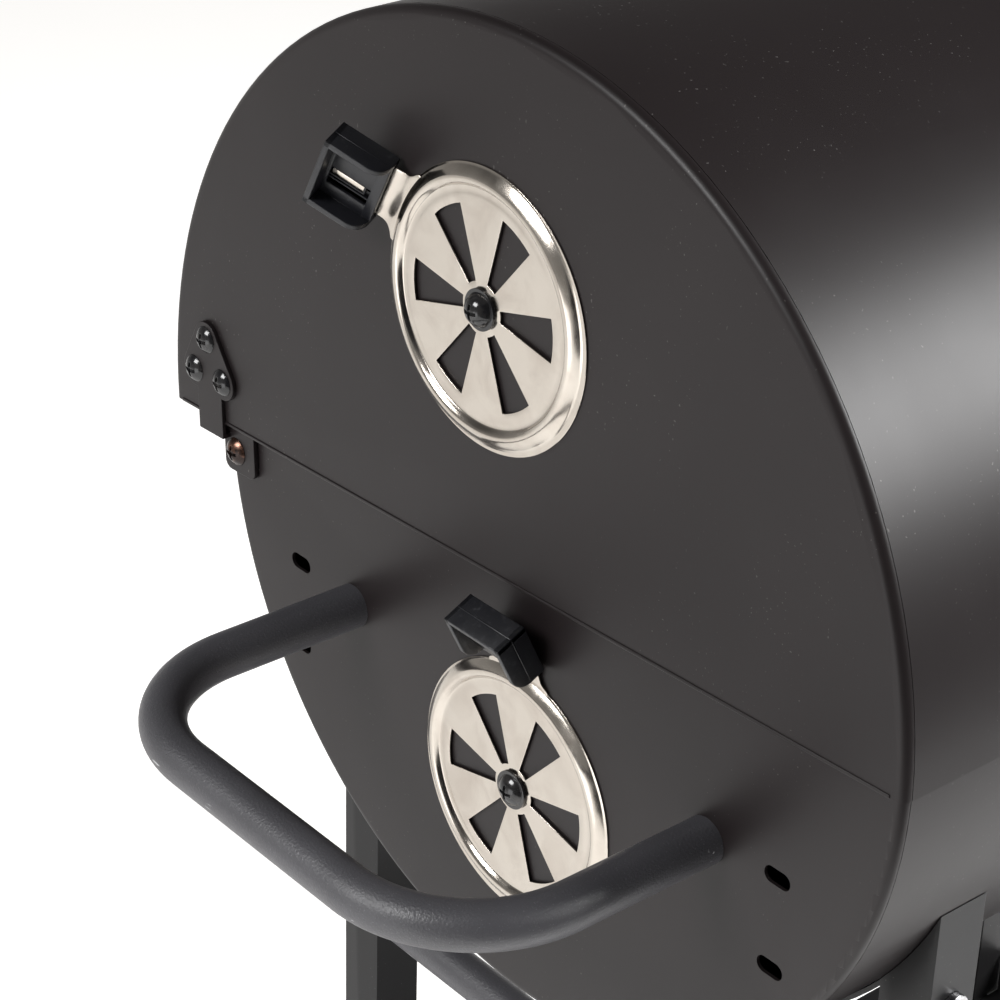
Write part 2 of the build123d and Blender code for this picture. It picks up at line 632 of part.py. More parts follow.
# ------------------------------------------------------------------ wheels
def wheel_parts():
    """Two spoked wheels with rubber tyres on one axle through the right legs."""
    x = saddle_x()[1]
    z = WHEEL_R
    half = WHEEL_W / 2
    front = LEG_FRONT_Y - 7 - half
    rear = LEG_REAR_Y + LEG_W + 7 + half
    out_front = front - half - 4
    out_rear = rear + half + 4
    parts["axle"] = y_rod(AXLE_R, out_front - 8, out_rear + 8, x, z)
    caps = [y_rod(10, out_front - 11, out_front - 0.5, x, z) - y_rod(AXLE_R, out_front - 8, 0, x, z),
            y_rod(10, out_rear + 0.5, out_rear + 11, x, z) - y_rod(AXLE_R, 0, out_rear + 8, x, z)]
    spacers = [y_rod(9, front + half + 3.5, LEG_FRONT_Y - 0.1, x, z),
               y_rod(9, LEG_REAR_Y + LEG_T + 0.1, rear - half - 3.5, x, z)]
    parts["axle_caps_spacers"] = group(caps + [part - y_rod(AXLE_R, -BIG, BIG, x, z) for part in spacers])
    for name, y in (("front", front), ("rear", rear)):
        rim_r = WHEEL_R - TYRE
        hub = y_rod(rim_r, -half + 3, half - 3) - y_rod(rim_r - 9, -half, half)
        hub += y_rod(17, -half - 3, half + 3)
        for i in range(SPOKES):
            spoke = block((-6, 6), (-5, 5), (14, rim_r - 5))
            hub += Rot(0, 360 / SPOKES * i, 0) * spoke
        hub -= y_rod(AXLE_R + RUNNING, -half - 5, half + 5)
        tyre = y_rod(WHEEL_R, -half, half) - y_rod(rim_r, -half - 1, half + 1)
        tyre = fillet(tyre.edges().filter_by(GeomType.CIRCLE).sort_by(SortBy.RADIUS)[-2:], 5)
        parts["wheel_" + name] = Pos(x, y, z) * hub
        parts["tyre_" + name] = Pos(x, y, z) * tyre


# ------------------------------------------------------------------ inside the chamber
def grate(width, depth, z):
    """Welded rod grate about its own centre; two bearers along X under rods along Y."""
    rods = Part()
    for side in (-1, 1):
        rods += x_rod(BEARER_R, -width / 2, width / 2, side * (depth / 2 - 20), z)
    count = int((width - 2 * BEARER_R) / GRATE_GAP) + 1
    pitch = (width - 2 * BEARER_R) / (count - 1)
    for i in range(count):
        x = -width / 2 + BEARER_R + i * pitch
        rods += y_rod(ROD_R, -depth / 2, depth / 2, x, z + BEARER_R + ROD_R - 0.8)
    return rods


def inside_parts():
    """Two cooking grates on rails, and the charcoal pan on its stays."""
    rail_y = 179.0
    clear = FLANGE + LIP + BODY_INSET + 3
    half = (LENGTH - 2 * clear) / 2
    rails = []
    for side in (-1, 1):
        shelf = block((-half, half), (rail_y - 16, rail_y + 16), (GRATE_Z - BEARER_R - 2, GRATE_Z - BEARER_R))
        shelf &= x_rod(BODY_R - SHEET - WELD, -half, half)
        rails.append(BODY * (shelf if side > 0 else mirror(shelf, about=Plane.XZ)))
    width = half - 4
    for name, x in (("left", -half / 2), ("right", half / 2)):
        parts["cooking_grate_" + name] = BODY * Pos(x, 0, 0) * grate(width, 2 * 178.0, GRATE_Z)
    length, depth, height = PAN
    taper = 1.25
    top = (length * 1.04, depth * taper)
    outer = loft([Rectangle(length, depth), Pos(0, 0, height) * Rectangle(*top)])
    inner = loft([Pos(0, 0, SHEET) * Rectangle(length - 2, depth - 2),
                  Pos(0, 0, height + SHEET) * Rectangle(top[0] - 2, top[1] - 2)])
    pan = outer - inner
    for i in range(-4, 5):
        for j in range(-2, 3):
            pan -= Pos(i * 44, j * 40, 0) * Box(26, 6, 8)
    parts["charcoal_pan"] = BODY * Pos(0, 0, PAN_Z) * pan
    stays = []
    for side in (-1, 1):
        stay = block((side * 150 - 8, side * 150 + 8), (-BIG, BIG), (PAN_Z - 2, PAN_Z))
        stays.append(BODY * (stay & x_rod(BODY_R - SHEET - WELD, -half, half)))
    parts["grate_rails_stays"] = group(rails + stays)


# ------------------------------------------------------------------ firebox
def fire_arc(outer, inner, x0, x1, start, stop):
    """Part of a round wall between two angles from +Y."""
    reach = 2 * outer
    steps = 8
    points = [(0, 0)]
    for i in range(steps + 1):
        a = radians(start + (stop - start) * i / steps)
        points.append((reach * cos(a), reach * sin(a)))
    points.append((0, 0))
    sector = plate(make_face(Polyline(*points)), x0, x1 - x0)
    return ring(outer, inner, x0, x1) & sector


def fire_hinge():
    """Firebox hinge axis, y and z from the firebox axis."""
    angle = radians(FIRE_LID_FROM - 3)
    r = FIRE_LID_R + 5.5
    return r * cos(angle), r * sin(angle)


def firebox_parts():
    """Firebox shell, ends, lid with its hinges and handle, the joint to the chamber, and the fire grate."""
    shell_edge = FLANGE + SEAM_GAP
    x0, x1 = FIRE_X0 + shell_edge, FIRE_X1 - shell_edge
    wall = fire_arc(FIRE_R, FIRE_R - SHEET, x0, x1, FIRE_LID_TO, 360 + FIRE_LID_FROM)
    left = end_dish(FIRE_R) - x_rod(DUCT_R, -1, 5, 0, DUCT_Z - FIRE_Z)
    left -= Pos(0, 0, -FIRE_Z) * slot_cut_round()
    right = end_dish(FIRE_R) - vent_cut(0, FIRE_VENT_Z)
    parts["firebox_shell"] = FIRE * wall
    parts["firebox_end_left"] = FIRE * Pos(FIRE_X0, 0, 0) * left
    parts["firebox_end_right"] = FIRE * Pos(FIRE_X1, 0, 0) * mirrored(right)
    lid = fire_arc(FIRE_LID_R, FIRE_LID_R - SHEET, FIRE_X0 + 1, FIRE_X1 - 1,
                   FIRE_LID_FROM - FIRE_OVERLAP + 2, FIRE_LID_TO + FIRE_OVERLAP)
    mid = (FIRE_X0 + FIRE_X1) / 2
    grip_angle = 128.0
    for side in (-1, 1):
        lid -= fire_radial(mid + side * 50, grip_angle, y_rod(BOLT_R + 0.2, -10, 10))
    parts["firebox_lid"] = FIRE * lid
    firebox_hinges(mid)
    firebox_handle(mid, grip_angle)
    firebox_joint()
    fire_grate = grate(FIRE_LEN - 60, 280.0, 0)
    parts["fire_grate"] = FIRE * Pos(mid, 0, -70) * fire_grate
    stays = []
    for side in (-1, 1):
        stay = block((mid + side * 110 - 8, mid + side * 110 + 8), (-BIG, BIG), (-75, -73))
        stays.append(FIRE * (stay & x_rod(FIRE_R - SHEET - WELD, FIRE_X0, FIRE_X1)))
    parts["fire_grate_stays"] = group(stays)


def fire_radial(x, angle, part):
    """Place a part so that its -Y points outwards on the firebox lid."""
    r = FIRE_LID_R
    return Pos(x, r * cos(radians(angle)), r * sin(radians(angle))) * Rot(angle - 180, 0, 0) * part


def slot_cut_round():
    """Round bolt holes that face the slots."""
    return plate(Sketch() + [Pos(y, z) * Circle(BOLT_R + 0.2) for y, z in slot_points()], -1, SHEET + 2)


def firebox_hinges(mid):
    """Two knuckle hinges: lid leaves and shell leaves share a pin."""
    y, z = fire_hinge()
    lid_leaves = []
    shell_leaves = []
    pins = []
    for side in (-1, 1):
        x = mid + side * 110
        spans = ((x - 20, x - 7.2), (x - 6.8, x + 6.8), (x + 7.2, x + 20))
        pin = x_rod(FIRE_HINGE_R, x - 21.5, x + 21.5, y, z)
        bore = x_rod(FIRE_HINGE_R + RUNNING, x - 30, x + 30, y, z)
        tight = x_rod(FIRE_HINGE_R, x - 30, x + 30, y, z)
        lid_knuckle = x_rod(5, *spans[1], y, z)
        outside = (FIRE_LID_R + 2.2, FIRE_LID_R + 0.2)
        lid_leaf = fire_arc(*outside, *spans[1], FIRE_LID_FROM - 2, FIRE_LID_FROM + 10)
        lid_leaves.append(FIRE * (lid_knuckle + lid_leaf - bore))
        knuckles = x_rod(5, *spans[0], y, z) + x_rod(5, *spans[2], y, z)
        leaf = fire_arc(FIRE_R + 2.2, FIRE_R + 0.2, x - 20, x + 20, FIRE_LID_FROM - 16, FIRE_LID_FROM - 4)
        bridge_a = fire_arc(FIRE_LID_R + 3, FIRE_R + 0.2, *spans[0], FIRE_LID_FROM - 6, FIRE_LID_FROM - 4)
        bridge_b = fire_arc(FIRE_LID_R + 3, FIRE_R + 0.2, *spans[2], FIRE_LID_FROM - 6, FIRE_LID_FROM - 4)
        shell_leaves.append(FIRE * (knuckles + leaf + bridge_a + bridge_b - tight))
        pins.append(FIRE * pin)
    parts["firebox_lid_hinge_leaves"] = group(lid_leaves)
    parts["firebox_shell_hinge_leaves"] = group(shell_leaves + pins)


def firebox_handle(mid, angle):
    """Bent rod handle on the firebox lid with its screws."""
    rise = 38.0
    grip = x_rod(7, -62, 62, -rise)
    for side in (-1, 1):
        grip += y_rod(5, -rise, -0.4, side * 50, 0)
        grip -= y_rod(BOLT_R, -20, 0, side * 50, 0)
    screws = []
    for side in (-1, 1):
        screw = y_rod(BOLT_R, -19, SHEET + 0.6, side * 50, 0) + y_rod(6, SHEET + 0.3, SHEET + 4, side * 50, 0)
        screws.append(FIRE * fire_radial(mid, angle, screw))
    parts["firebox_handle"] = group([FIRE * fire_radial(mid, angle, grip)] + screws)


def firebox_joint():
    """Duct collar, spacers and bolts between the chamber and the firebox."""
    x0 = RIGHT - BODY_INSET
    x1 = FIRE_X0
    collar = Pos(0, 0, DUCT_Z) * ring(DUCT_R + 6, DUCT_R + 3, x0, x1)
    parts["duct_collar"] = BODY * collar
    spacers = []
    bolts = []
    for y, z in slot_points():
        spacers.append(BODY * Pos(0, y, z) * ring(8, BOLT_R + 0.2, x0, x1))
        bolt = x_rod(BOLT_R, x0 - SHEET - 0.5, x1 + SHEET + 7)
        bolt += x_rod(7.5, x0 - SHEET - 4, x0 - SHEET - 0.1)
        bolt += x_rod(6, x1 + SHEET + 0.1, x1 + SHEET + 5)
        bolts.append(BODY * Pos(0, y, z) * bolt)
    parts["duct_spacers"] = group(spacers)
    parts["duct_bolts"] = group(bolts)


# ------------------------------------------------------------------ build, centre and write
def build():
    """Make every node."""
    parts["lid_shell"] = lid_shell()
    parts["lid_end_left"] = lid_end(True)
    parts["lid_end_right"] = mirrored(lid_end(False))
    parts["body_shell"] = body_shell()
    parts["body_end_left"] = body_end(True)
    parts["body_end_right"] = mirrored(body_end(False))
    lid_handle_parts()
    gauge_parts()
    damper_parts()
    hinge_parts()
    end_handle_parts()
    leg_parts()
    foot_parts()
    shelf_parts()
    wheel_parts()
    inside_parts()
    firebox_parts()


def bounds():
    """Lowest and highest corner of the whole object."""
    boxes = [part.bounding_box() for part in parts.values()]
    low = [min(getattr(box.min, axis) for box in boxes) for axis in "XYZ"]
    high = [max(getattr(box.max, axis) for box in boxes) for axis in "XYZ"]
    return low, high


build()
LOW, HIGH = bounds()
SHIFT = (-(LOW[0] + HIGH[0]) / 2, -(LOW[1] + HIGH[1]) / 2, -LOW[2])
os.makedirs("parts", exist_ok=True)
for node, part in parts.items():
    export_step(Pos(*SHIFT) * part, "parts/" + node + ".step")
print("nodes", len(parts))
print("shift", [round(value, 3) for value in SHIFT])
print("size", [round(high - low, 2) for low, high in zip(LOW, HIGH)])
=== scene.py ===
"""Looks of an offset smoker: a barrel chamber on a wheeled frame with a side firebox.

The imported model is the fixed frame. This script gives every part its finish, builds the fine
pieces that the frame only blocks out, and adds the floor, the lights and the camera.
"""
import json
import logging
import math
from dataclasses import dataclass, field
from enum import Enum
from typing import Iterable, Optional, Sequence

import bmesh
import bpy
from mathutils import Matrix, Vector

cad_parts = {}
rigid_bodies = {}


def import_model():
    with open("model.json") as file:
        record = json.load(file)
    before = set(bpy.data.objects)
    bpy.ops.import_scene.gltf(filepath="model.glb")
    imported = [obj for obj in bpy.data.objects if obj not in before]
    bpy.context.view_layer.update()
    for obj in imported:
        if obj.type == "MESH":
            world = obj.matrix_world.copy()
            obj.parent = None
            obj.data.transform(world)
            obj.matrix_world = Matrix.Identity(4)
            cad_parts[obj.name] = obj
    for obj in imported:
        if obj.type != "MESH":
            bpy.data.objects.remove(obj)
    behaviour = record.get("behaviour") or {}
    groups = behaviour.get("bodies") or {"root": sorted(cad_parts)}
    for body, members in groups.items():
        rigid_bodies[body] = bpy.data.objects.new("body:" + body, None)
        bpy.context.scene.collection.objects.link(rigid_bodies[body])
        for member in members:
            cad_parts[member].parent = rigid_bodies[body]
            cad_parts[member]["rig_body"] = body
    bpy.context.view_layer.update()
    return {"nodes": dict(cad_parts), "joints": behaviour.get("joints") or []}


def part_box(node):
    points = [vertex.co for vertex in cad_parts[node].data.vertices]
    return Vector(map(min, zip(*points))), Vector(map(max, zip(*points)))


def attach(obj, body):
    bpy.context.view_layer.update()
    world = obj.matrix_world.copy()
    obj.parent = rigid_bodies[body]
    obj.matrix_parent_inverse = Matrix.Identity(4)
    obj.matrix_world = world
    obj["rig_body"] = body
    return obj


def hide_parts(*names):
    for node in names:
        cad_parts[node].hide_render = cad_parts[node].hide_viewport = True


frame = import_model()

LOG = logging.getLogger("smoker")
MM = 0.001

SEAM_TILT = -2.3            # degrees from level, of the seam between the lid and the body
EDGE_FACETS = 2             # facets across a rounded edge
MERGE = 0.002 * MM          # vertices closer than this are one
MOST = (0.3, 0.7)           # the part of a noise pattern that fills most of a surface
CLOUDS = (0.35, 0.7)        # the part that makes broad soft patches
MIX_SHARE, MIX_FIRST, MIX_SECOND, MIX_RESULT = 0, 6, 7, 2  # a Mix node's sockets for colours

Colour = tuple[float, float, float]


class Slot(Enum):
    """The record's material slots."""

    BARREL = "barrel_paint"
    FRAME = "frame_paint"
    COAT = "handle_coat"
    SHEET = "stainless"
    PLASTIC = "knob_plastic"
    SCREW = "black_screw"
    ZINC = "zinc"
    ROD = "plated_rod"
    PAN = "pan_steel"
    WHEEL = "wheel_plastic"
    TYRE = "tyre"
    DIAL = "dial_white"
    NEEDLE = "needle_red"
    GLASS = "clear_glass"


class Side(Enum):
    """Which way a piece faces along the barrel."""

    LEFT = -1
    RIGHT = 1


# ---------------------------------------------------------------- finishes
class Wiring:
    """One node material while it is being wired."""

    def __init__(self, name: str) -> None:
        """Start an empty material with a shader, an output and object coordinates.

        Args:
            name: the material's name.
        """
        self.material = bpy.data.materials.new(name)
        self.material.use_nodes = True
        self.tree = self.material.node_tree
        self.tree.nodes.clear()
        output = self.tree.nodes.new("ShaderNodeOutputMaterial")
        self.shader = self.tree.nodes.new("ShaderNodeBsdfPrincipled")
        self.tree.links.new(self.shader.outputs["BSDF"], output.inputs["Surface"])
        self.place = self.tree.nodes.new("ShaderNodeTexCoord").outputs["Object"]

    def fixed(self, **values: object) -> None:
        """Set constant sockets on the shader; underscores in the names stand for spaces."""
        for name, value in values.items():
            self.shader.inputs[name.replace("_", " ")].default_value = value

    def join(self, source: bpy.types.NodeSocket, socket: str) -> None:
        """Link a socket to one of the shader's inputs."""
        self.tree.links.new(source, self.shader.inputs[socket])

    def noise(self, scale: float, detail: float = 2.0, rough: float = 0.5,
              stretch: Sequence[float] = (1.0, 1.0, 1.0), warp: float = 0.0) -> bpy.types.NodeSocket:
        """Add a noise pattern.

        Args:
            scale: cells per metre.
            detail: octaves.
            rough: weight of the fine octaves.
            stretch: scale along each axis.
            warp: distortion.

        Returns:
            The pattern's value.
        """
        mapping = self.tree.nodes.new("ShaderNodeMapping")
        mapping.inputs["Scale"].default_value = stretch
        self.tree.links.new(self.place, mapping.inputs["Vector"])
        node = self.tree.nodes.new("ShaderNodeTexNoise")
        node.inputs["Scale"].default_value = scale
        node.inputs["Detail"].default_value = detail
        node.inputs["Roughness"].default_value = rough
        node.inputs["Distortion"].default_value = warp
        self.tree.links.new(mapping.outputs["Vector"], node.inputs["Vector"])
        return node.outputs["Fac"]

    def span(self, source: bpy.types.NodeSocket, low: float, high: float,
             start: float = 0.0, stop: float = 1.0) -> bpy.types.NodeSocket:
        """Map a value's range to another one, clamped.

        Args:
            source: the value.
            low: source value that gives start.
            high: source value that gives stop.
            start: result at low.
            stop: result at high.

        Returns:
            The mapped value.
        """
        node = self.tree.nodes.new("ShaderNodeMapRange")
        node.inputs["From Min"].default_value = low
        node.inputs["From Max"].default_value = high
        node.inputs["To Min"].default_value = start
        node.inputs["To Max"].default_value = stop
        self.tree.links.new(source, node.inputs["Value"])
        return node.outputs["Result"]

    def combine(self, operation: str, first: bpy.types.NodeSocket,
                second: bpy.types.NodeSocket) -> bpy.types.NodeSocket:
        """Join two values by a sum or a product.

        Args:
            operation: ADD or MULTIPLY.
            first: one value.
            second: the other value.

        Returns:
            The result.
        """
        node = self.tree.nodes.new("ShaderNodeMath")
        node.operation = operation
        self.tree.links.new(first, node.inputs[0])
        self.tree.links.new(second, node.inputs[1])
        return node.outputs["Value"]

    def times(self, first: bpy.types.NodeSocket, second: bpy.types.NodeSocket) -> bpy.types.NodeSocket:
        """Multiply two values."""
        return self.combine("MULTIPLY", first, second)

    def plus(self, first: bpy.types.NodeSocket, second: bpy.types.NodeSocket) -> bpy.types.NodeSocket:
        """Add two values."""
        return self.combine("ADD", first, second)

    def blend(self, share: bpy.types.NodeSocket, first: object, second: object) -> bpy.types.NodeSocket:
        """Mix two colours.

        Args:
            share: how much of the second colour.
            first: a colour, or a socket.
            second: a colour, or a socket.

        Returns:
            The mixed colour.
        """
        node = self.tree.nodes.new("ShaderNodeMix")
        node.data_type = "RGBA"
        self.tree.links.new(share, node.inputs[MIX_SHARE])
        for value, index in ((first, MIX_FIRST), (second, MIX_SECOND)):
            if isinstance(value, tuple):
                node.inputs[index].default_value = (*value, 1.0)
            else:
                self.tree.links.new(value, node.inputs[index])
        return node.outputs[MIX_RESULT]

    def relief(self, height: bpy.types.NodeSocket, depth: float, strength: float = 1.0,
               edge: float = 0.0) -> None:
        """Give the shader a bumped normal.

        Args:
            height: pattern of heights, 0 to 1.
            depth: height of 1, in metres.
            strength: share of the effect.
            edge: radius by which hard edges look rounded, in metres.
        """
        bump = self.tree.nodes.new("ShaderNodeBump")
        bump.inputs["Distance"].default_value = depth
        bump.inputs["Strength"].default_value = strength
        self.tree.links.new(height, bump.inputs["Height"])
        if edge > 0:
            bevel = self.tree.nodes.new("ShaderNodeBevel")
            bevel.samples = 4
            bevel.inputs["Radius"].default_value = edge
            self.tree.links.new(bevel.outputs["Normal"], bump.inputs["Normal"])
        self.join(bump.outputs["Normal"], "Normal")


@dataclass(frozen=True)
class Paint:
    """Baked enamel on sheet steel: faint orange peel, dust specks and rubbed patches.

    Cells are counted per metre, here and in the other finishes.
    """

    name: str
    colour: Colour
    rubbed: Colour
    roughness: float = 0.4
    peel_cells: float = 330.0
    peel_depth: float = 0.008 * MM
    dustiness: float = 1.0
    shine: float = 0.25
    dust: Colour = (0.26, 0.25, 0.24)
    rub_cells: float = 7.0
    dust_cells: float = 900.0
    dust_cover: float = 0.30
    patch_cells: float = 16.0
    smear_cells: float = 22.0

    def make(self) -> bpy.types.Material:
        """Wire the material."""
        w = Wiring(self.name)
        base = w.blend(w.span(w.noise(self.rub_cells, 3.0), *CLOUDS), self.colour, self.rubbed)
        specks = w.span(w.noise(self.dust_cells, 0.0), 0.80, 0.84, 0.0, self.dust_cover * self.dustiness)
        patches = w.span(w.noise(self.patch_cells, 2.0), 0.45, 0.62)
        w.join(w.blend(w.times(specks, patches), base, self.dust), "Base Color")
        smear = w.noise(self.smear_cells, 4.0, 0.6, (1.0, 1.0, 0.4))
        w.join(w.span(smear, *MOST, self.roughness - 0.01, self.roughness + 0.02), "Roughness")
        w.fixed(Specular_IOR_Level=self.shine)
        fine = w.span(w.noise(self.peel_cells * 4, 1.0), 0.0, 1.0, 0.0, 0.25)
        w.relief(w.plus(w.noise(self.peel_cells, 2.0), fine), self.peel_depth)
        return w.material


@dataclass(frozen=True)
class Coat:
    """Textured powder coat with a fine grain, painted glints (tiny grains lightened in the base colour) and
    light scratches.
    """

    name: str
    colour: Colour = (0.046, 0.045, 0.051)
    # colour of the painted glints: tiny grains lightened in place of real sparkle
    bright: Colour = (0.16, 0.16, 0.17)
    scratched: Colour = (0.42, 0.42, 0.43)
    shine: float = 0.7
    grain_cells: float = 1000.0
    grain_depth: float = 0.22 * MM
    cloud_cells: float = 12.0
    cloud_lift: float = 1.35
    scratch_cells: float = 420.0
    patch_cells: float = 28.0
    rough_cells: float = 40.0

    def make(self) -> bpy.types.Material:
        """Wire the material."""
        w = Wiring(self.name)
        grain = w.noise(self.grain_cells, 2.0, 0.6)
        lighter = tuple(channel * self.cloud_lift for channel in self.colour)
        tone = w.blend(w.span(w.noise(self.cloud_cells, 3.0), *CLOUDS), self.colour, lighter)
        # painted glints: tiny grains blended towards the bright colour, standing in for sparkle
        spark = w.span(w.noise(self.grain_cells * 1.7, 1.0), 0.66, 0.76, 0.0, 0.55)
        lines = w.span(w.noise(self.scratch_cells, 1.0, 0.5, (1.0, 0.12, 1.0)), 0.72, 0.75)
        where = w.span(w.noise(self.patch_cells, 2.0), 0.62, 0.68)
        tone_with_painted_glints = w.blend(spark, tone, self.bright)
        w.join(w.blend(w.times(lines, where), tone_with_painted_glints, self.scratched), "Base Color")
        w.join(w.span(w.noise(self.rough_cells, 3.0), *MOST, 0.42, 0.52), "Roughness")
        w.fixed(Specular_IOR_Level=self.shine)
        w.relief(grain, self.grain_depth)
        return w.material


@dataclass(frozen=True)
class Sheet:
    """Polished stainless sheet: warm grey, faint polish lines and finger marks."""

    name: str
    colour: Colour = (0.54, 0.495, 0.44)
    dull: Colour = (0.46, 0.41, 0.36)
    smooth: float = 0.12
    rough: float = 0.24
    stain_cells: float = 48.0
    smear_cells: float = 75.0
    wave_cells: float = 55.0
    wave_depth: float = 0.22 * MM
    line_cells: float = 900.0
    line_share: float = 0.02

    def make(self) -> bpy.types.Material:
        """Wire the material."""
        w = Wiring(self.name)
        stain = w.span(w.noise(self.stain_cells, 4.0, 0.6, warp=0.6), 0.45, 0.75)
        w.join(w.blend(stain, self.colour, self.dull), "Base Color")
        w.fixed(Metallic=1.0)
        smear = w.noise(self.smear_cells, 4.0, 0.65)
        w.join(w.span(smear, 0.3, 0.75, self.smooth, self.rough), "Roughness")
        lines = w.noise(self.line_cells, 2.0, 0.5, (1.0, 1.0, 0.05))
        height = w.plus(w.noise(self.wave_cells, 2.0), w.span(lines, 0.0, 1.0, 0.0, self.line_share))
        w.relief(height, self.wave_depth)
        return w.material


@dataclass(frozen=True)
class Metal:
    """Plain or plated steel for screws, bolts, rods and nuts."""

    name: str
    colour: Colour
    worn: Colour
    metallic: float = 1.0
    smooth: float = 0.18
    rough: float = 0.38
    grain_cells: float = 700.0
    grain_depth: float = 0.02 * MM
    edge: float = 0.25 * MM
    worn_cells: float = 180.0
    smear_cells: float = 320.0

    def make(self) -> bpy.types.Material:
        """Wire the material."""
        w = Wiring(self.name)
        worn = w.span(w.noise(self.worn_cells, 3.0), 0.45, 0.72)
        w.join(w.blend(worn, self.colour, self.worn), "Base Color")
        w.fixed(Metallic=self.metallic)
        w.join(w.span(w.noise(self.smear_cells, 3.0), *MOST, self.smooth, self.rough), "Roughness")
        w.relief(w.noise(self.grain_cells, 2.0), self.grain_depth, 1.0, self.edge)
        return w.material


@dataclass(frozen=True)
class Moulding:
    """Moulded plastic or rubber with a fine spark-eroded grain and light scuffs."""

    name: str
    colour: Colour
    scuffed: Colour
    roughness: float = 0.42
    grain_cells: float = 1400.0
    grain_depth: float = 0.04 * MM
    shine: float = 0.5
    edge: float = 0.25 * MM
    scuff_cells: float = 420.0
    patch_cells: float = 45.0
    smear_cells: float = 90.0

    def make(self) -> bpy.types.Material:
        """Wire the material."""
        w = Wiring(self.name)
        scuff = w.span(w.noise(self.scuff_cells, 2.0), 0.56, 0.72)
        patch = w.span(w.noise(self.patch_cells, 3.0), 0.48, 0.66)
        w.join(w.blend(w.times(scuff, patch), self.colour, self.scuffed), "Base Color")
        smear = w.noise(self.smear_cells, 3.0)
        w.join(w.span(smear, *MOST, self.roughness - 0.05, self.roughness + 0.08), "Roughness")
        w.fixed(Specular_IOR_Level=self.shine)
        w.relief(w.noise(self.grain_cells, 1.0), self.grain_depth, 1.0, self.edge)
        return w.material


@dataclass(frozen=True)
class Glass:
    """Clear flat glass with a trace of dust."""

    name: str
    clear: Colour = (0.97, 0.99, 0.98)
    dust: Colour = (0.7, 0.7, 0.68)
    bending: float = 1.45
    wave_depth: float = 0.01 * MM
    dust_cells: float = 300.0
    smear_cells: float = 60.0
    wave_cells: float = 20.0

    def make(self) -> bpy.types.Material:
        """Wire the material."""
        w = Wiring(self.name)
        dusty = w.span(w.noise(self.dust_cells, 2.0), 0.6, 0.75, 0.0, 0.08)
        w.join(w.blend(dusty, self.clear, self.dust), "Base Color")
        w.fixed(Transmission_Weight=1.0, IOR=self.bending)
        w.join(w.span(w.noise(self.smear_cells, 3.0), 0.4, 0.7, 0.01, 0.05), "Roughness")
        w.relief(w.noise(self.wave_cells, 1.0), self.wave_depth)
        return w.material


@dataclass(frozen=True)
class Print(Paint):
    """Smooth printed or sprayed enamel on the thermometer's small parts."""

    roughness: float = 0.35
    peel_cells: float = 500.0
    peel_depth: float = 0.01 * MM
    dustiness: float = 0.1


class Finishes:
    """All finishes of the smoker, one material for each slot."""

    def __init__(self) -> None:
        """Wire every material once."""
        recipes = {
            Slot.BARREL: Paint("barrel_enamel", (0.0105, 0.0078, 0.0082), (0.0130, 0.0100, 0.0104)),
            Slot.FRAME: Paint("frame_enamel", (0.0115, 0.0112, 0.0118), (0.017, 0.0165, 0.017),
                              roughness=0.42, peel_cells=420.0),
            Slot.COAT: Coat("handle_powder_coat"),
            Slot.SHEET: Sheet("polished_sheet"),
            Slot.PLASTIC: Moulding("knob_moulding", (0.0085, 0.0088, 0.0115), (0.036, 0.037, 0.042),
                                   roughness=0.38),
            Slot.SCREW: Metal("blackened_screw", (0.010, 0.010, 0.011), (0.03, 0.028, 0.027),
                              metallic=0.0, smooth=0.10, rough=0.2),
            Slot.ZINC: Metal("zinc_plate", (0.5, 0.5, 0.51), (0.36, 0.36, 0.36)),
            Slot.ROD: Metal("bright_wire", (0.66, 0.66, 0.66), (0.5, 0.49, 0.47), smooth=0.1, rough=0.22),
            Slot.PAN: Paint("pan_enamel", (0.012, 0.012, 0.012), (0.02, 0.019, 0.018),
                            roughness=0.5, peel_cells=260.0, peel_depth=0.05 * MM),
            Slot.WHEEL: Moulding("wheel_moulding", (0.012, 0.012, 0.013), (0.04, 0.04, 0.04),
                                 roughness=0.45),
            Slot.TYRE: Moulding("tyre_rubber", (0.010, 0.010, 0.010), (0.06, 0.057, 0.05),
                                roughness=0.72, grain_cells=700.0, grain_depth=0.12 * MM),
            Slot.DIAL: Print("dial_print", (0.80, 0.79, 0.75), (0.74, 0.72, 0.67)),
            Slot.NEEDLE: Print("needle_enamel", (0.45, 0.02, 0.012), (0.38, 0.03, 0.02)),
            Slot.GLASS: Glass("dial_glass"),
        }
        self.made = {slot: recipe.make() for slot, recipe in recipes.items()}
        self.worn_screw = Metal("worn_screw", (0.03, 0.022, 0.02), (0.30, 0.15, 0.10), metallic=0.85,
                                smooth=0.16, rough=0.3, grain_cells=500.0).make()

    def of(self, slot: Slot) -> bpy.types.Material:
        """The material of a slot."""
        return self.made[slot]


# ---------------------------------------------------------------- making pieces
def thicken(piece: bpy.types.Object, thickness: float) -> None:
    """Give a thin front its sheet thickness, behind the face.

    Args:
        piece: the sheet's front.
        thickness: in metres.
    """
    wall = piece.modifiers.new("sheet", "SOLIDIFY")
    wall.thickness = thickness
    wall.offset = -1.0


def round_edges(piece: bpy.types.Object, width: float, sharpest: float) -> None:
    """Round a piece's sharp edges.

    Args:
        piece: the piece.
        width: width of the rounding, in metres.
        sharpest: edges that turn by more degrees than this are rounded.
    """
    bevel = piece.modifiers.new("edges", "BEVEL")
    bevel.width = width
    bevel.segments = EDGE_FACETS
    bevel.limit_method = "ANGLE"
    bevel.angle_limit = math.radians(sharpest)


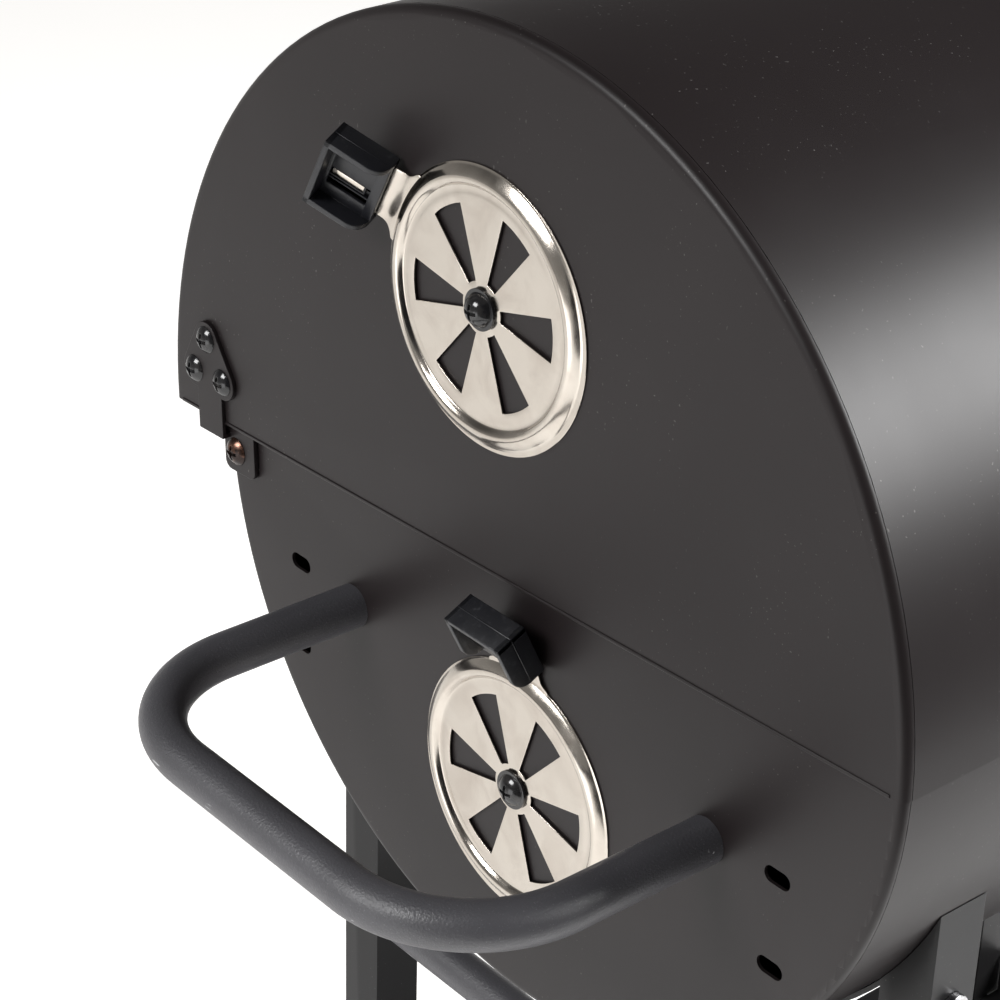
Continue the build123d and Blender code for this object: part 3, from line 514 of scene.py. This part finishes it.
@dataclass
class Shop:
    """Where meshes become finished pieces on their bodies."""

    finishes: Finishes
    count: int = 0
    facet_angle: float = 0.6
    edge_angle: float = 38.0

    def piece(self, name: str, mesh: bmesh.types.BMesh, slot: Slot, body: str,
              replaces: Iterable[str] = (), material: Optional[bpy.types.Material] = None,
              smooth: float = 40.0) -> bpy.types.Object:
        """Turn a bmesh into a piece that rides on a body.

        Args:
            name: the piece's name.
            mesh: its shape, in the frame's metres; it is freed here.
            slot: the record's slot it takes its finish from.
            body: the body it rides on.
            replaces: the frame's nodes that it stands for.
            material: a finish in place of the slot's own.
            smooth: largest angle between faces that still shade as one, in degrees.

        Returns:
            The new object.
        """
        data = bpy.data.meshes.new(name)
        mesh.to_mesh(data)
        mesh.free()
        data.materials.append(material or self.finishes.of(slot))
        data.shade_smooth()
        data.set_sharp_from_angle(angle=math.radians(smooth))
        made = bpy.data.objects.new(name, data)
        bpy.context.scene.collection.objects.link(made)
        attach(made, body)
        nodes = list(replaces)
        if nodes:
            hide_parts(*nodes)
        self.count += 1
        LOG.info("%s: %d faces on %s", name, len(data.polygons), body)
        return made

    def soften(self, node: str, slot: Slot, width: float,
               material: Optional[bpy.types.Material] = None) -> bpy.types.Object:
        """Stand a copy of a node in its place with its edges rounded.

        Args:
            node: the frame's node.
            slot: its slot.
            width: width of the rounding, in metres.
            material: a finish in place of the slot's own.

        Returns:
            The rounded piece.
        """
        source = frame["nodes"][node]
        mesh = bmesh.new()
        mesh.from_mesh(source.data)
        bmesh.ops.remove_doubles(mesh, verts=mesh.verts, dist=MERGE)
        bmesh.ops.dissolve_limit(mesh, angle_limit=math.radians(self.facet_angle),
                                 verts=mesh.verts, edges=mesh.edges)
        made = self.piece(node + "_finished", mesh, slot, source["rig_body"], [node], material)
        round_edges(made, width, self.edge_angle)
        return made

    def dress(self, node: str, slot: Slot) -> None:
        """Give a node that keeps its own shape its finish.

        Args:
            node: the frame's node.
            slot: its slot.
        """
        data = frame["nodes"][node].data
        data.materials.clear()
        data.materials.append(self.finishes.of(slot))


def turned(mesh: bmesh.types.BMesh, outline: Sequence[tuple[float, float]],
           steps: int) -> list[bmesh.types.BMFace]:
    """Spin an outline of (radius, height) points once round the local Z axis.

    Args:
        mesh: where the shape goes.
        outline: points in metres.
        steps: facets round the axis.

    Returns:
        The new faces.
    """
    before = set(mesh.faces)
    verts = [mesh.verts.new((radius, 0.0, height)) for radius, height in outline]
    edges = [mesh.edges.new(pair) for pair in zip(verts, verts[1:])]
    bmesh.ops.spin(mesh, geom=verts + edges, cent=(0, 0, 0), axis=(0, 0, 1), angle=2 * math.pi,
                   steps=steps, use_merge=True, use_duplicate=False)
    fresh = [face for face in mesh.faces if face not in before]
    points = list({vert for face in fresh for vert in face.verts})
    bmesh.ops.remove_doubles(mesh, verts=points, dist=MERGE / 20)
    return [face for face in mesh.faces if face not in before]


def bevelled(mesh: bmesh.types.BMesh, edges: Sequence[bmesh.types.BMEdge], radius: float,
             segments: int = EDGE_FACETS) -> None:
    """Round edges of a mesh for good.

    Args:
        mesh: the mesh.
        edges: its edges to round.
        radius: in metres.
        segments: facets across an edge.
    """
    bmesh.ops.bevel(mesh, geom=edges, offset=radius, offset_type="OFFSET", affect="EDGES",
                    segments=segments, profile=0.5, material=-1)


def brick(mesh: bmesh.types.BMesh, low: Sequence[float], high: Sequence[float], soft: float = 0.0,
          segments: int = EDGE_FACETS) -> list[bmesh.types.BMVert]:
    """Add a box with rounded edges.

    Args:
        mesh: where the box goes.
        low: lowest corner.
        high: highest corner.
        soft: radius of the edges.
        segments: facets across an edge.

    Returns:
        The box's vertices.
    """
    before = set(mesh.verts)
    made = bmesh.ops.create_cube(mesh, size=1.0)
    size = [b - a for a, b in zip(low, high)]
    middle = [(a + b) / 2 for a, b in zip(low, high)]
    bmesh.ops.scale(mesh, vec=size, verts=made["verts"])
    bmesh.ops.translate(mesh, vec=middle, verts=made["verts"])
    if soft > 0:
        bevelled(mesh, list({edge for vert in made["verts"] for edge in vert.link_edges}), soft, segments)
    return [vert for vert in mesh.verts if vert not in before]


def ease(value: float) -> float:
    """Smooth step from 0 to 1."""
    t = min(1.0, max(0.0, value))
    return t * t * (3 - 2 * t)


# ---------------------------------------------------------------- dampers
@dataclass
class Damper:
    """A turning vent: pressed disc with six openings, strap, clipped-on knob and centre screw.

    The local frame has Z outwards, X along the strap and its origin on the plate at the disc's centre.
    """

    shop: Shop
    name: str
    joint: str
    side: Side
    strap_angle: float
    radius: float = 55.4 * MM
    face: float = 1.5 * MM
    sheet: float = 0.8 * MM
    hole: float = 3.2 * MM
    openings: int = 6
    opening_in: float = 10.8 * MM
    opening_out: float = 39.8 * MM
    opening_angle: float = 25.0
    flat_out: float = 42.5 * MM
    groove: tuple[tuple[float, float], ...] = ((43.6 * MM, 0.06 * MM), (44.8 * MM, 0.22 * MM),
                                               (46.0 * MM, 0.10 * MM))
    bead_in: float = 46.4 * MM
    bead_top: float = 49.3 * MM
    bead_crest: float = 0.5 * MM
    bead_out: float = 54.5 * MM
    bead_rise: float = 3.6 * MM
    bead_foot: float = 0.75 * MM
    bead_fall: float = 1.35
    bead_steps: int = 10
    steps: int = 144
    seat_in: float = 49.0 * MM
    seat_out: float = 55.3 * MM
    seat_low: float = 0.12 * MM
    seat_high: float = 0.62 * MM
    seat_soft: float = 0.15 * MM
    seat_shift: float = 2.1 * MM
    strap_width: float = 25.0 * MM
    strap_sheet: float = 1.08 * MM
    strap_start: float = 50.5 * MM
    strap_length: float = 26.0 * MM
    strap_lift: float = 1.35 * MM
    strap_facets: tuple[int, int] = (40, 16)
    bend_radius: float = 58.0 * MM
    bend_ramp: float = 4.0 * MM
    bend: float = 26.0
    flare: float = 5.0 * MM
    flare_start: float = 53.2 * MM
    flare_fade: float = 2.0 * MM
    tuck: float = 0.5 * MM
    tuck_start: float = 52.0 * MM
    tuck_length: float = 4.0 * MM
    knob_width: float = 32.0 * MM
    knob_length: float = 25.5 * MM
    knob_height: float = 13.0 * MM
    knob_back: float = -1.6 * MM
    knob_wall: float = 2.5 * MM
    knob_start: float = 5.0 * MM
    knob_lift: float = 0.5 * MM
    knob_corner: float = 7.5 * MM
    knob_soft: float = 0.35 * MM
    rib_soft: float = 0.15 * MM
    tray_low: float = 3.6 * MM
    tray_high: float = 5.2 * MM
    window: tuple[float, float, float, float] = (4.2 * MM, 21.6 * MM, 0.2 * MM, 8.0 * MM)
    line_low: float = 5.4 * MM
    line_high: float = 5.75 * MM
    line_proud: float = 0.14 * MM

    @property
    def body(self) -> str:
        """The body that the disc rides on."""
        return self.name + "_damper"

    def place(self) -> Matrix:
        """The damper's local frame in the object's."""
        centre = next(j["pos_m"] for j in frame["joints"] if j["name"] == self.joint)
        turn = math.radians(self.strap_angle)
        along = Vector((0.0, math.cos(turn), math.sin(turn)))
        out = Vector((float(self.side.value), 0.0, 0.0))
        across = out.cross(along)
        basis = Matrix((along, across, out)).transposed().to_4x4()
        return Matrix.Translation(Vector(centre)) @ basis

    def disc_outline(self) -> list[tuple[float, float]]:
        """Radius and height of the disc's front, from the screw hole to the edge."""
        flat, foot = self.face, self.bead_foot
        points = [(self.hole, flat), (self.opening_in, flat), (self.opening_out, flat), (self.flat_out, flat)]
        points += [(radius, flat - depth) for radius, depth in self.groove]
        for i in range(self.bead_steps + 1):
            share = i / self.bead_steps
            points.append((self.bead_in + (self.bead_top - self.bead_in) * share,
                           flat + (self.bead_rise - flat) * math.sin(share * math.pi / 2)))
        crest = self.bead_top + self.bead_crest
        for i in range(1, self.bead_steps + 1):
            share = i / self.bead_steps
            points.append((crest + (self.bead_out - crest) * share,
                           foot + (self.bead_rise - foot) * (1 - share ** self.bead_fall)))
        points.append((self.radius - 0.2 * MM, self.seat_high))
        return points

    def in_opening(self, point: Vector) -> bool:
        """Tell whether a point of the flat face lies in one of the openings.

        Args:
            point: in the local frame.

        Returns:
            True inside an opening.
        """
        distance = math.hypot(point.x, point.y)
        if not self.opening_in < distance < self.opening_out:
            return False
        spacing = 360.0 / self.openings
        angle = math.degrees(math.atan2(point.y, point.x)) % spacing
        return abs(angle - spacing / 2) < self.opening_angle / 2

    def face_out(self, mesh: bmesh.types.BMesh) -> None:
        """Turn an open sheet's faces outwards and put it in its place.

        Args:
            mesh: the sheet, in the local frame.
        """
        bmesh.ops.recalc_face_normals(mesh, faces=mesh.faces)
        if sum(face.normal.z * face.calc_area() for face in mesh.faces) < 0:
            bmesh.ops.reverse_faces(mesh, faces=mesh.faces)
        bmesh.ops.transform(mesh, matrix=self.place(), verts=mesh.verts)

    def build_disc(self) -> None:
        """Spin the pressed disc and cut its openings."""
        mesh = bmesh.new()
        faces = turned(mesh, self.disc_outline(), self.steps)
        cut = [face for face in faces if self.in_opening(face.calc_center_median())]
        bmesh.ops.delete(mesh, geom=cut, context="FACES")
        self.face_out(mesh)
        disc = self.shop.piece(self.name + "_disc", mesh, Slot.SHEET, self.body,
                               [self.name + "_damper_disc"], smooth=35.0)
        thicken(disc, self.sheet)
        round_edges(disc, 0.18 * MM, 50.0)

    def build_seat_ring(self) -> None:
        """Add the flat seat ring, slightly off centre, that shows as a crescent away from the strap."""
        mesh = bmesh.new()
        low, high, soft = self.seat_low, self.seat_high, self.seat_soft
        outline = [(self.seat_in, low), (self.seat_out - soft, low), (self.seat_out, low + soft),
                   (self.seat_out, high - soft), (self.seat_out - soft, high), (self.seat_in, high),
                   (self.seat_in, low)]
        turned(mesh, outline, self.steps)
        bmesh.ops.translate(mesh, vec=(-self.seat_shift, 0.0, 0.0), verts=mesh.verts)
        bmesh.ops.recalc_face_normals(mesh, faces=mesh.faces)
        bmesh.ops.transform(mesh, matrix=self.place(), verts=mesh.verts)
        self.shop.piece(self.name + "_seat_ring", mesh, Slot.SHEET, self.body)

    def strap_height(self, radius: float) -> float:
        """Height of the strap's front face.

        Args:
            radius: distance from the disc's centre.

        Returns:
            The height over the plate.
        """
        rise = math.tan(math.radians(self.bend))
        over = radius - (self.bend_radius - self.bend_ramp / 2)
        if over <= 0:
            return self.strap_lift
        if over < self.bend_ramp:
            return self.strap_lift + rise * over * over / (2 * self.bend_ramp)
        return self.strap_lift + rise * (over - self.bend_ramp / 2)

    def build_strap(self) -> None:
        """Bend the steel strap out of the disc's plane, with small flares where it meets the rim."""
        mesh = bmesh.new()
        start = self.strap_start
        end = self.bend_radius + self.strap_length * math.cos(math.radians(self.bend))
        along, across = self.strap_facets
        bmesh.ops.create_grid(mesh, x_segments=along, y_segments=across, size=0.5)
        for vert in mesh.verts:
            radius = start + (end - start) * (vert.co.x + 0.5)
            flare = self.flare * math.exp(-max(0.0, radius - self.flare_start) / self.flare_fade)
            half = self.strap_width / 2 + flare
            tuck = -self.tuck * (1 - ease((radius - self.tuck_start) / self.tuck_length))
            vert.co = Vector((radius, vert.co.y * 2 * half, self.strap_height(radius) + tuck))
        self.face_out(mesh)
        strap = self.shop.piece(self.name + "_strap", mesh, Slot.SHEET, self.body, smooth=60.0)
        thicken(strap, self.strap_sheet)
        round_edges(strap, 0.2 * MM, 50.0)

    def knob_place(self) -> Matrix:
        """Local frame of the knob: X along the sloping strap, Z away from it, origin at its inner end."""
        slope = math.radians(self.bend)
        origin = Vector((self.bend_radius, 0.0, self.knob_lift))
        along = Vector((math.cos(slope), 0.0, math.sin(slope)))
        rise = Vector((-math.sin(slope), 0.0, math.cos(slope)))
        across = rise.cross(along)
        basis = Matrix((along, across, rise)).transposed().to_4x4()
        return self.place() @ Matrix.Translation(origin + along * self.knob_start) @ basis

    def side_wall(self, mesh: bmesh.types.BMesh, low: float, high: float) -> None:
        """Add a side wall whose free upper corner is well rounded.

        Args:
            mesh: the knob's mesh.
            low: inner or outer face across the knob.
            high: the other face.
        """
        before = set(mesh.verts)
        verts = brick(mesh, (0.0, low, self.knob_back), (self.knob_length, high, self.knob_height))
        edges = {edge for vert in verts for edge in vert.link_edges}
        corner = [edge for edge in edges if all(v.co.x < 0.1 * MM and v.co.z > self.knob_height / 2
                                                for v in edge.verts)]
        bevelled(mesh, corner, self.knob_corner, 10)
        fresh = [vert for vert in mesh.verts if vert not in before]
        rest = list({edge for vert in fresh for edge in vert.link_edges if edge.calc_face_angle(0.0) > 0.5})
        bevelled(mesh, rest, self.knob_soft)

    def build_tray(self, mesh: bmesh.types.BMesh) -> None:
        """Add the knob's floor, with a window over the strap, and what shows in the window.

        Args:
            mesh: the knob's mesh.
        """
        soft, thin = self.knob_soft, self.rib_soft
        low, top = self.tray_low, self.tray_high
        near, far, left, right = self.window
        reach = self.knob_length - self.knob_wall + 0.5 * MM
        inside = self.knob_width / 2 - self.knob_wall + 0.5 * MM
        rib = 6.1 * MM
        for low_corner, high_corner, edge in (
                # the floor round the window
                ((0.0, -inside, low), (near, inside, top), soft),
                ((far, -inside, low), (reach, inside, top), soft),
                ((near - soft, -inside, low), (far + soft, left, top), soft),
                ((near - soft, right, low), (far + soft, inside, top), soft),
                # the back plate under the strap
                ((0.0, -inside, self.knob_back), (reach, inside, -0.1 * MM), soft),
                # the shelf and the ribs that show in the window
                ((near - soft, 3.6 * MM, 1.25 * MM), (far + soft, right + soft, 2.1 * MM), thin),
                ((rib, left - soft, low), (6.7 * MM, 3.9 * MM, 4.9 * MM), thin),
                ((rib, 3.5 * MM, 1.6 * MM), (far + soft, 4.1 * MM, 4.8 * MM), thin),
                ((near - soft, 5.6 * MM, 1.6 * MM), (far + soft, 6.3 * MM, 4.1 * MM), thin),
                # the lip towards the disc
                ((0.0, -inside, low - 1.2 * MM), (0.8 * MM, inside, low + 0.4 * MM), soft)):
            brick(mesh, low_corner, high_corner, edge)

    def build_knob(self) -> None:
        """Mould the knob: tray, side walls, end wall and the fine parting line round it."""
        mesh = bmesh.new()
        length, half, wall = self.knob_length, self.knob_width / 2, self.knob_wall
        proud, line_soft = self.line_proud, 0.1 * MM
        self.build_tray(mesh)
        self.side_wall(mesh, -half, -half + wall)
        self.side_wall(mesh, half - wall, half)
        brick(mesh, (length - wall, -half, self.knob_back), (length, half, self.knob_height), self.knob_soft)
        for edge in (-half, half):
            brick(mesh, (1.0 * MM, edge - proud, self.line_low),
                  (length - 0.6 * MM, edge + proud, self.line_high), line_soft, 1)
        brick(mesh, (length - proud, -half + 0.6 * MM, self.line_low),
              (length + proud, half - 0.6 * MM, self.line_high), line_soft, 1)
        bmesh.ops.transform(mesh, matrix=self.knob_place(), verts=mesh.verts)
        bmesh.ops.recalc_face_normals(mesh, faces=mesh.faces)
        self.shop.piece(self.name + "_knob", mesh, Slot.PLASTIC, self.body,
                        [self.name + "_damper_knob"], smooth=50.0)

    def build_tongue(self) -> None:
        """Raise the strap's bright tongue in the knob's window."""
        mesh = bmesh.new()
        start, end, left, right, soft = 6.9 * MM, 20.9 * MM, 0.7 * MM, 3.2 * MM, 0.2 * MM
        brick(mesh, (start, left, 3.8 * MM), (end, right, 4.6 * MM), soft)
        brick(mesh, (end - 1.0 * MM, left, 0.9 * MM), (end, right, 4.5 * MM), soft)
        bmesh.ops.transform(mesh, matrix=self.knob_place(), verts=mesh.verts)
        bmesh.ops.recalc_face_normals(mesh, faces=mesh.faces)
        self.shop.piece(self.name + "_strap_tongue", mesh, Slot.SHEET, self.body)

    def build(self) -> None:
        """Build the whole damper."""
        self.build_disc()
        self.build_seat_ring()
        self.build_strap()
        self.build_knob()
        self.build_tongue()
        self.shop.soften(self.name + "_damper_screw", Slot.SCREW, 0.22 * MM)


# ---------------------------------------------------------------- the rest of the smoker
@dataclass
class Barrel:
    """Cooking chamber and firebox: wrappers, end plates and the hems along the lid plates."""

    shop: Shop
    edge: float = 0.55 * MM
    lid_radius: float = 214.0 * MM
    skirt: float = 4.0 * MM
    hem_rise: float = 0.5 * MM
    hem_height: float = 1.5 * MM
    hem_depth: float = 0.8 * MM
    hem_soft: float = 0.4 * MM
    hem_gap: float = 6.0 * MM
    plates: tuple[str, ...] = ("lid_end_left", "lid_end_right", "body_end_left", "body_end_right",
                               "firebox_end_left", "firebox_end_right")
    wrappers: tuple[str, ...] = ("lid_shell", "body_shell", "firebox_shell", "firebox_lid")

    def build_hem(self, side: Side) -> None:
        """Fold the lower edge of a lid plate over into a thin hem.

        Args:
            side: which end of the barrel.
        """
        plate_low, plate_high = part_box("lid_end_" + side.name.lower())
        shell_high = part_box("lid_shell")[1]
        face = plate_low.x if side is Side.LEFT else plate_high.x
        middle = Vector((face, shell_high.y - self.lid_radius, plate_high.z - self.lid_radius))
        outer, inner = self.hem_rise * side.value, -self.hem_depth * side.value
        reach = self.lid_radius - self.hem_gap
        mesh = bmesh.new()
        brick(mesh, (min(outer, inner), -reach, -self.skirt),
              (max(outer, inner), reach, -self.skirt + self.hem_height), self.hem_soft, 3)
        turn = Matrix.Translation(middle) @ Matrix.Rotation(math.radians(SEAM_TILT), 4, "X")
        bmesh.ops.transform(mesh, matrix=turn, verts=mesh.verts)
        self.shop.piece("lid_hem_" + side.name.lower(), mesh, Slot.BARREL, "lid")

    def build(self) -> None:
        """Dress the sheet work."""
        for side in Side:
            self.build_hem(side)
        for node in self.plates:
            self.shop.soften(node, Slot.BARREL, self.edge)
        for node in self.wrappers:
            self.shop.dress(node, Slot.BARREL)


@dataclass
class Hardware:
    """Parts whose frame shape is right and that only need rounded edges and a finish."""

    shop: Shop
    worn_edge: float = 0.2 * MM
    rounded: dict[str, tuple[Slot, float]] = field(default_factory=lambda: {
        "hinge_arm_left": (Slot.BARREL, 0.5 * MM), "hinge_arm_right": (Slot.BARREL, 0.5 * MM),
        "hinge_leaf_screws": (Slot.SCREW, 0.2 * MM),
        "leg_front_left": (Slot.FRAME, 0.6 * MM), "leg_rear_left": (Slot.FRAME, 0.6 * MM),
        "leg_front_right": (Slot.FRAME, 0.6 * MM), "leg_rear_right": (Slot.FRAME, 0.6 * MM),
        "saddles": (Slot.FRAME, 0.4 * MM), "bottom_shelf": (Slot.FRAME, 0.4 * MM),
        "foot_caps": (Slot.PLASTIC, 0.8 * MM), "frame_bolts": (Slot.ZINC, 0.3 * MM),
        "shelf_screws": (Slot.ZINC, 0.3 * MM), "duct_bolts": (Slot.ZINC, 0.3 * MM),
        "duct_spacers": (Slot.BARREL, 0.3 * MM), "axle": (Slot.ZINC, 0.4 * MM),
        "axle_caps_spacers": (Slot.ZINC, 0.6 * MM), "end_handle_bolts": (Slot.ZINC, 0.3 * MM),
        "wheel_front": (Slot.WHEEL, 1.0 * MM), "wheel_rear": (Slot.WHEEL, 1.0 * MM),
        "firebox_lid_hinge_leaves": (Slot.BARREL, 0.4 * MM),
        "firebox_shell_hinge_leaves": (Slot.BARREL, 0.4 * MM),
        "lid_handle_posts": (Slot.SCREW, 0.4 * MM), "gauge_case": (Slot.SHEET, 0.6 * MM),
        "gauge_stem": (Slot.SHEET, 0.3 * MM),
    })
    plain: dict[str, Slot] = field(default_factory=lambda: {
        "end_handle": Slot.COAT, "cross_bars": Slot.COAT, "lid_handle_grip": Slot.COAT,
        "firebox_handle": Slot.COAT, "tyre_front": Slot.TYRE, "tyre_rear": Slot.TYRE,
        "cooking_grate_left": Slot.ROD, "cooking_grate_right": Slot.ROD, "charcoal_pan": Slot.PAN,
        "fire_grate": Slot.PAN, "grate_rails_stays": Slot.BARREL, "fire_grate_stays": Slot.BARREL,
        "duct_collar": Slot.BARREL, "gauge_face": Slot.DIAL, "gauge_needle": Slot.NEEDLE,
        "gauge_glass": Slot.GLASS,
    })

    def build(self) -> None:
        """Round and dress every part."""
        for node, (slot, width) in self.rounded.items():
            self.shop.soften(node, slot, width)
        for node, slot in self.plain.items():
            self.shop.dress(node, slot)
        self.shop.soften("hinge_pivot_screws", Slot.SCREW, self.worn_edge, self.shop.finishes.worn_screw)


# ---------------------------------------------------------------- studio
@dataclass
class Studio:
    """Pale floor, soft lights and the camera."""

    camera_place: tuple[float, float, float] = (-1.019206, -0.689171, 1.287610)
    camera_aim: tuple[float, float, float] = (0.574, 0.668, -0.4736)
    camera_up: tuple[float, float, float] = (0.2862, 0.3783, 0.8803)
    lens: float = 100.63
    sensor: float = 36.0
    nearest: float = 0.05
    floor_size: float = 30.0
    floor_glow: float = 0.62
    warm_white: tuple[float, float, float, float] = (1.0, 0.98, 0.95, 1.0)
    card_white: tuple[float, float, float, float] = (1.0, 1.0, 1.0, 1.0)
    sky: tuple[float, float, float, float] = (1.0, 0.985, 0.965, 1.0)
    low_sky: float = 0.40
    high_sky: float = 0.10
    ceiling: float = 0.5

    def stand(self, name: str, mesh: bmesh.types.BMesh, material: bpy.types.Material) -> bpy.types.Object:
        """Put a studio object in the scene.

        Args:
            name: its name.
            mesh: its shape; it is freed here.
            material: its finish.

        Returns:
            The new object.
        """
        data = bpy.data.meshes.new(name)
        mesh.to_mesh(data)
        mesh.free()
        data.materials.append(material)
        made = bpy.data.objects.new(name, data)
        bpy.context.scene.collection.objects.link(made)
        return made

    def build_floor(self) -> None:
        """Lay a large pale floor that glows a little, as a lit table does."""
        mesh = bmesh.new()
        bmesh.ops.create_grid(mesh, x_segments=1, y_segments=1, size=self.floor_size / 2)
        w = Wiring("pale_floor")
        w.join(w.blend(w.noise(3.0, 2.0), (0.88, 0.88, 0.88), (0.91, 0.91, 0.91)), "Base Color")
        w.join(w.span(w.noise(9.0, 2.0), *MOST, 0.75, 0.85), "Roughness")
        w.fixed(Emission_Color=self.warm_white, Emission_Strength=self.floor_glow)
        floor = self.stand("floor", mesh, w.material)

    def build_world(self) -> None:
        """Surround the scene with a dim studio: lighter walls under a dark ceiling."""
        world = bpy.data.worlds.new("studio")
        world.use_nodes = True
        tree = world.node_tree
        back = tree.nodes["Background"]
        place = tree.nodes.new("ShaderNodeTexCoord")
        split = tree.nodes.new("ShaderNodeSeparateXYZ")
        fade = tree.nodes.new("ShaderNodeMapRange")
        for socket, value in (("From Min", 0.0), ("From Max", self.ceiling),
                              ("To Min", self.low_sky), ("To Max", self.high_sky)):
            fade.inputs[socket].default_value = value
        tree.links.new(place.outputs["Generated"], split.inputs["Vector"])
        tree.links.new(split.outputs["Z"], fade.inputs["Value"])
        tree.links.new(fade.outputs["Result"], back.inputs["Strength"])
        back.inputs["Color"].default_value = self.sky
        bpy.context.scene.world = world

    def softbox(self, name: str, place: Sequence[float], aim: Sequence[float], size: tuple[float, float],
                power: float) -> None:
        """Hang a rectangular soft light.

        Args:
            name: its name.
            place: its centre.
            aim: the point it faces.
            size: width and height, in metres.
            power: watts.
        """
        data = bpy.data.lights.new(name, "AREA")
        data.shape = "RECTANGLE"
        data.size, data.size_y = size
        data.energy = power
        lamp = bpy.data.objects.new(name, data)
        lamp.location = place
        lamp.rotation_mode = "QUATERNION"
        lamp.rotation_quaternion = (Vector(aim) - Vector(place)).to_track_quat("-Z", "Y")
        bpy.context.scene.collection.objects.link(lamp)

    def card(self, name: str, low: Sequence[float], high: Sequence[float], glow: float) -> None:
        """Stand a thin card that only shows in the gloss of the metal.

        Args:
            name: its name.
            low: lowest corner.
            high: highest corner.
            glow: its brightness; 0 is a black card.
        """
        mesh = bmesh.new()
        brick(mesh, low, high)
        w = Wiring(name)
        w.join(w.blend(w.noise(4.0, 1.0), (0.01, 0.01, 0.012), (0.012, 0.012, 0.014)), "Base Color")
        w.fixed(Emission_Color=self.card_white, Emission_Strength=glow, Specular_IOR_Level=0.0)
        panel = self.stand(name, mesh, w.material)
        panel.visible_camera = False
        panel.visible_diffuse = False
        panel.visible_shadow = False

    def build_camera(self) -> None:
        """Stand the camera at its place."""
        data = bpy.data.cameras.new("camera")
        data.lens = self.lens
        data.sensor_width = self.sensor
        data.clip_start = self.nearest
        camera = bpy.data.objects.new("camera", data)
        back = -Vector(self.camera_aim).normalized()
        right = Vector(self.camera_up).cross(back).normalized()
        up = back.cross(right)
        turn = Matrix((right, up, back)).transposed()
        camera.matrix_world = Matrix.Translation(Vector(self.camera_place)) @ turn.to_4x4()
        bpy.context.scene.collection.objects.link(camera)
        bpy.context.scene.camera = camera

    def build(self) -> None:
        """Set up the whole studio."""
        self.build_floor()
        self.build_world()
        self.softbox("front_box", place=(1.40, -1.60, 1.95), aim=(-0.35, -0.1, 0.88), size=(1.5, 0.9),
                     power=120.0)
        self.softbox("left_box", place=(-2.5, 0.45, 2.3), aim=(-0.4, 0.0, 0.8), size=(1.2, 0.8), power=60.0)
        self.card("bright_card", low=(-1.97, -0.38, 0.02), high=(-1.95, 0.30, 0.72), glow=3.0)
        self.card("dark_card", low=(-2.9, -0.92, 0.02), high=(-0.35, -0.90, 2.2), glow=0.0)
        self.card("low_dark_card", low=(-0.30, -1.22, 0.02), high=(3.0, -1.20, 1.05), glow=0.0)
        self.build_camera()
        bpy.context.scene.view_settings.view_transform = "Standard"


def main() -> None:
    """Build every sub-assembly in order, then the studio."""
    logging.basicConfig(level=logging.INFO, format="%(name)s %(message)s")
    shop = Shop(Finishes())
    assemblies = [
        Barrel(shop),
        Hardware(shop),
        Damper(shop, "upper", "upper_damper_turn", Side.LEFT, 30.0 + SEAM_TILT),
        Damper(shop, "lower", "lower_damper_turn", Side.LEFT, 90.0),
        Damper(shop, "intake", "intake_damper_turn", Side.RIGHT, 90.0),
        Studio(),
    ]
    for assembly in assemblies:
        assembly.build()
        LOG.info("%s is built", type(assembly).__name__)
    LOG.info("%d new pieces", shop.count)


if __name__ == "__main__":
    main()
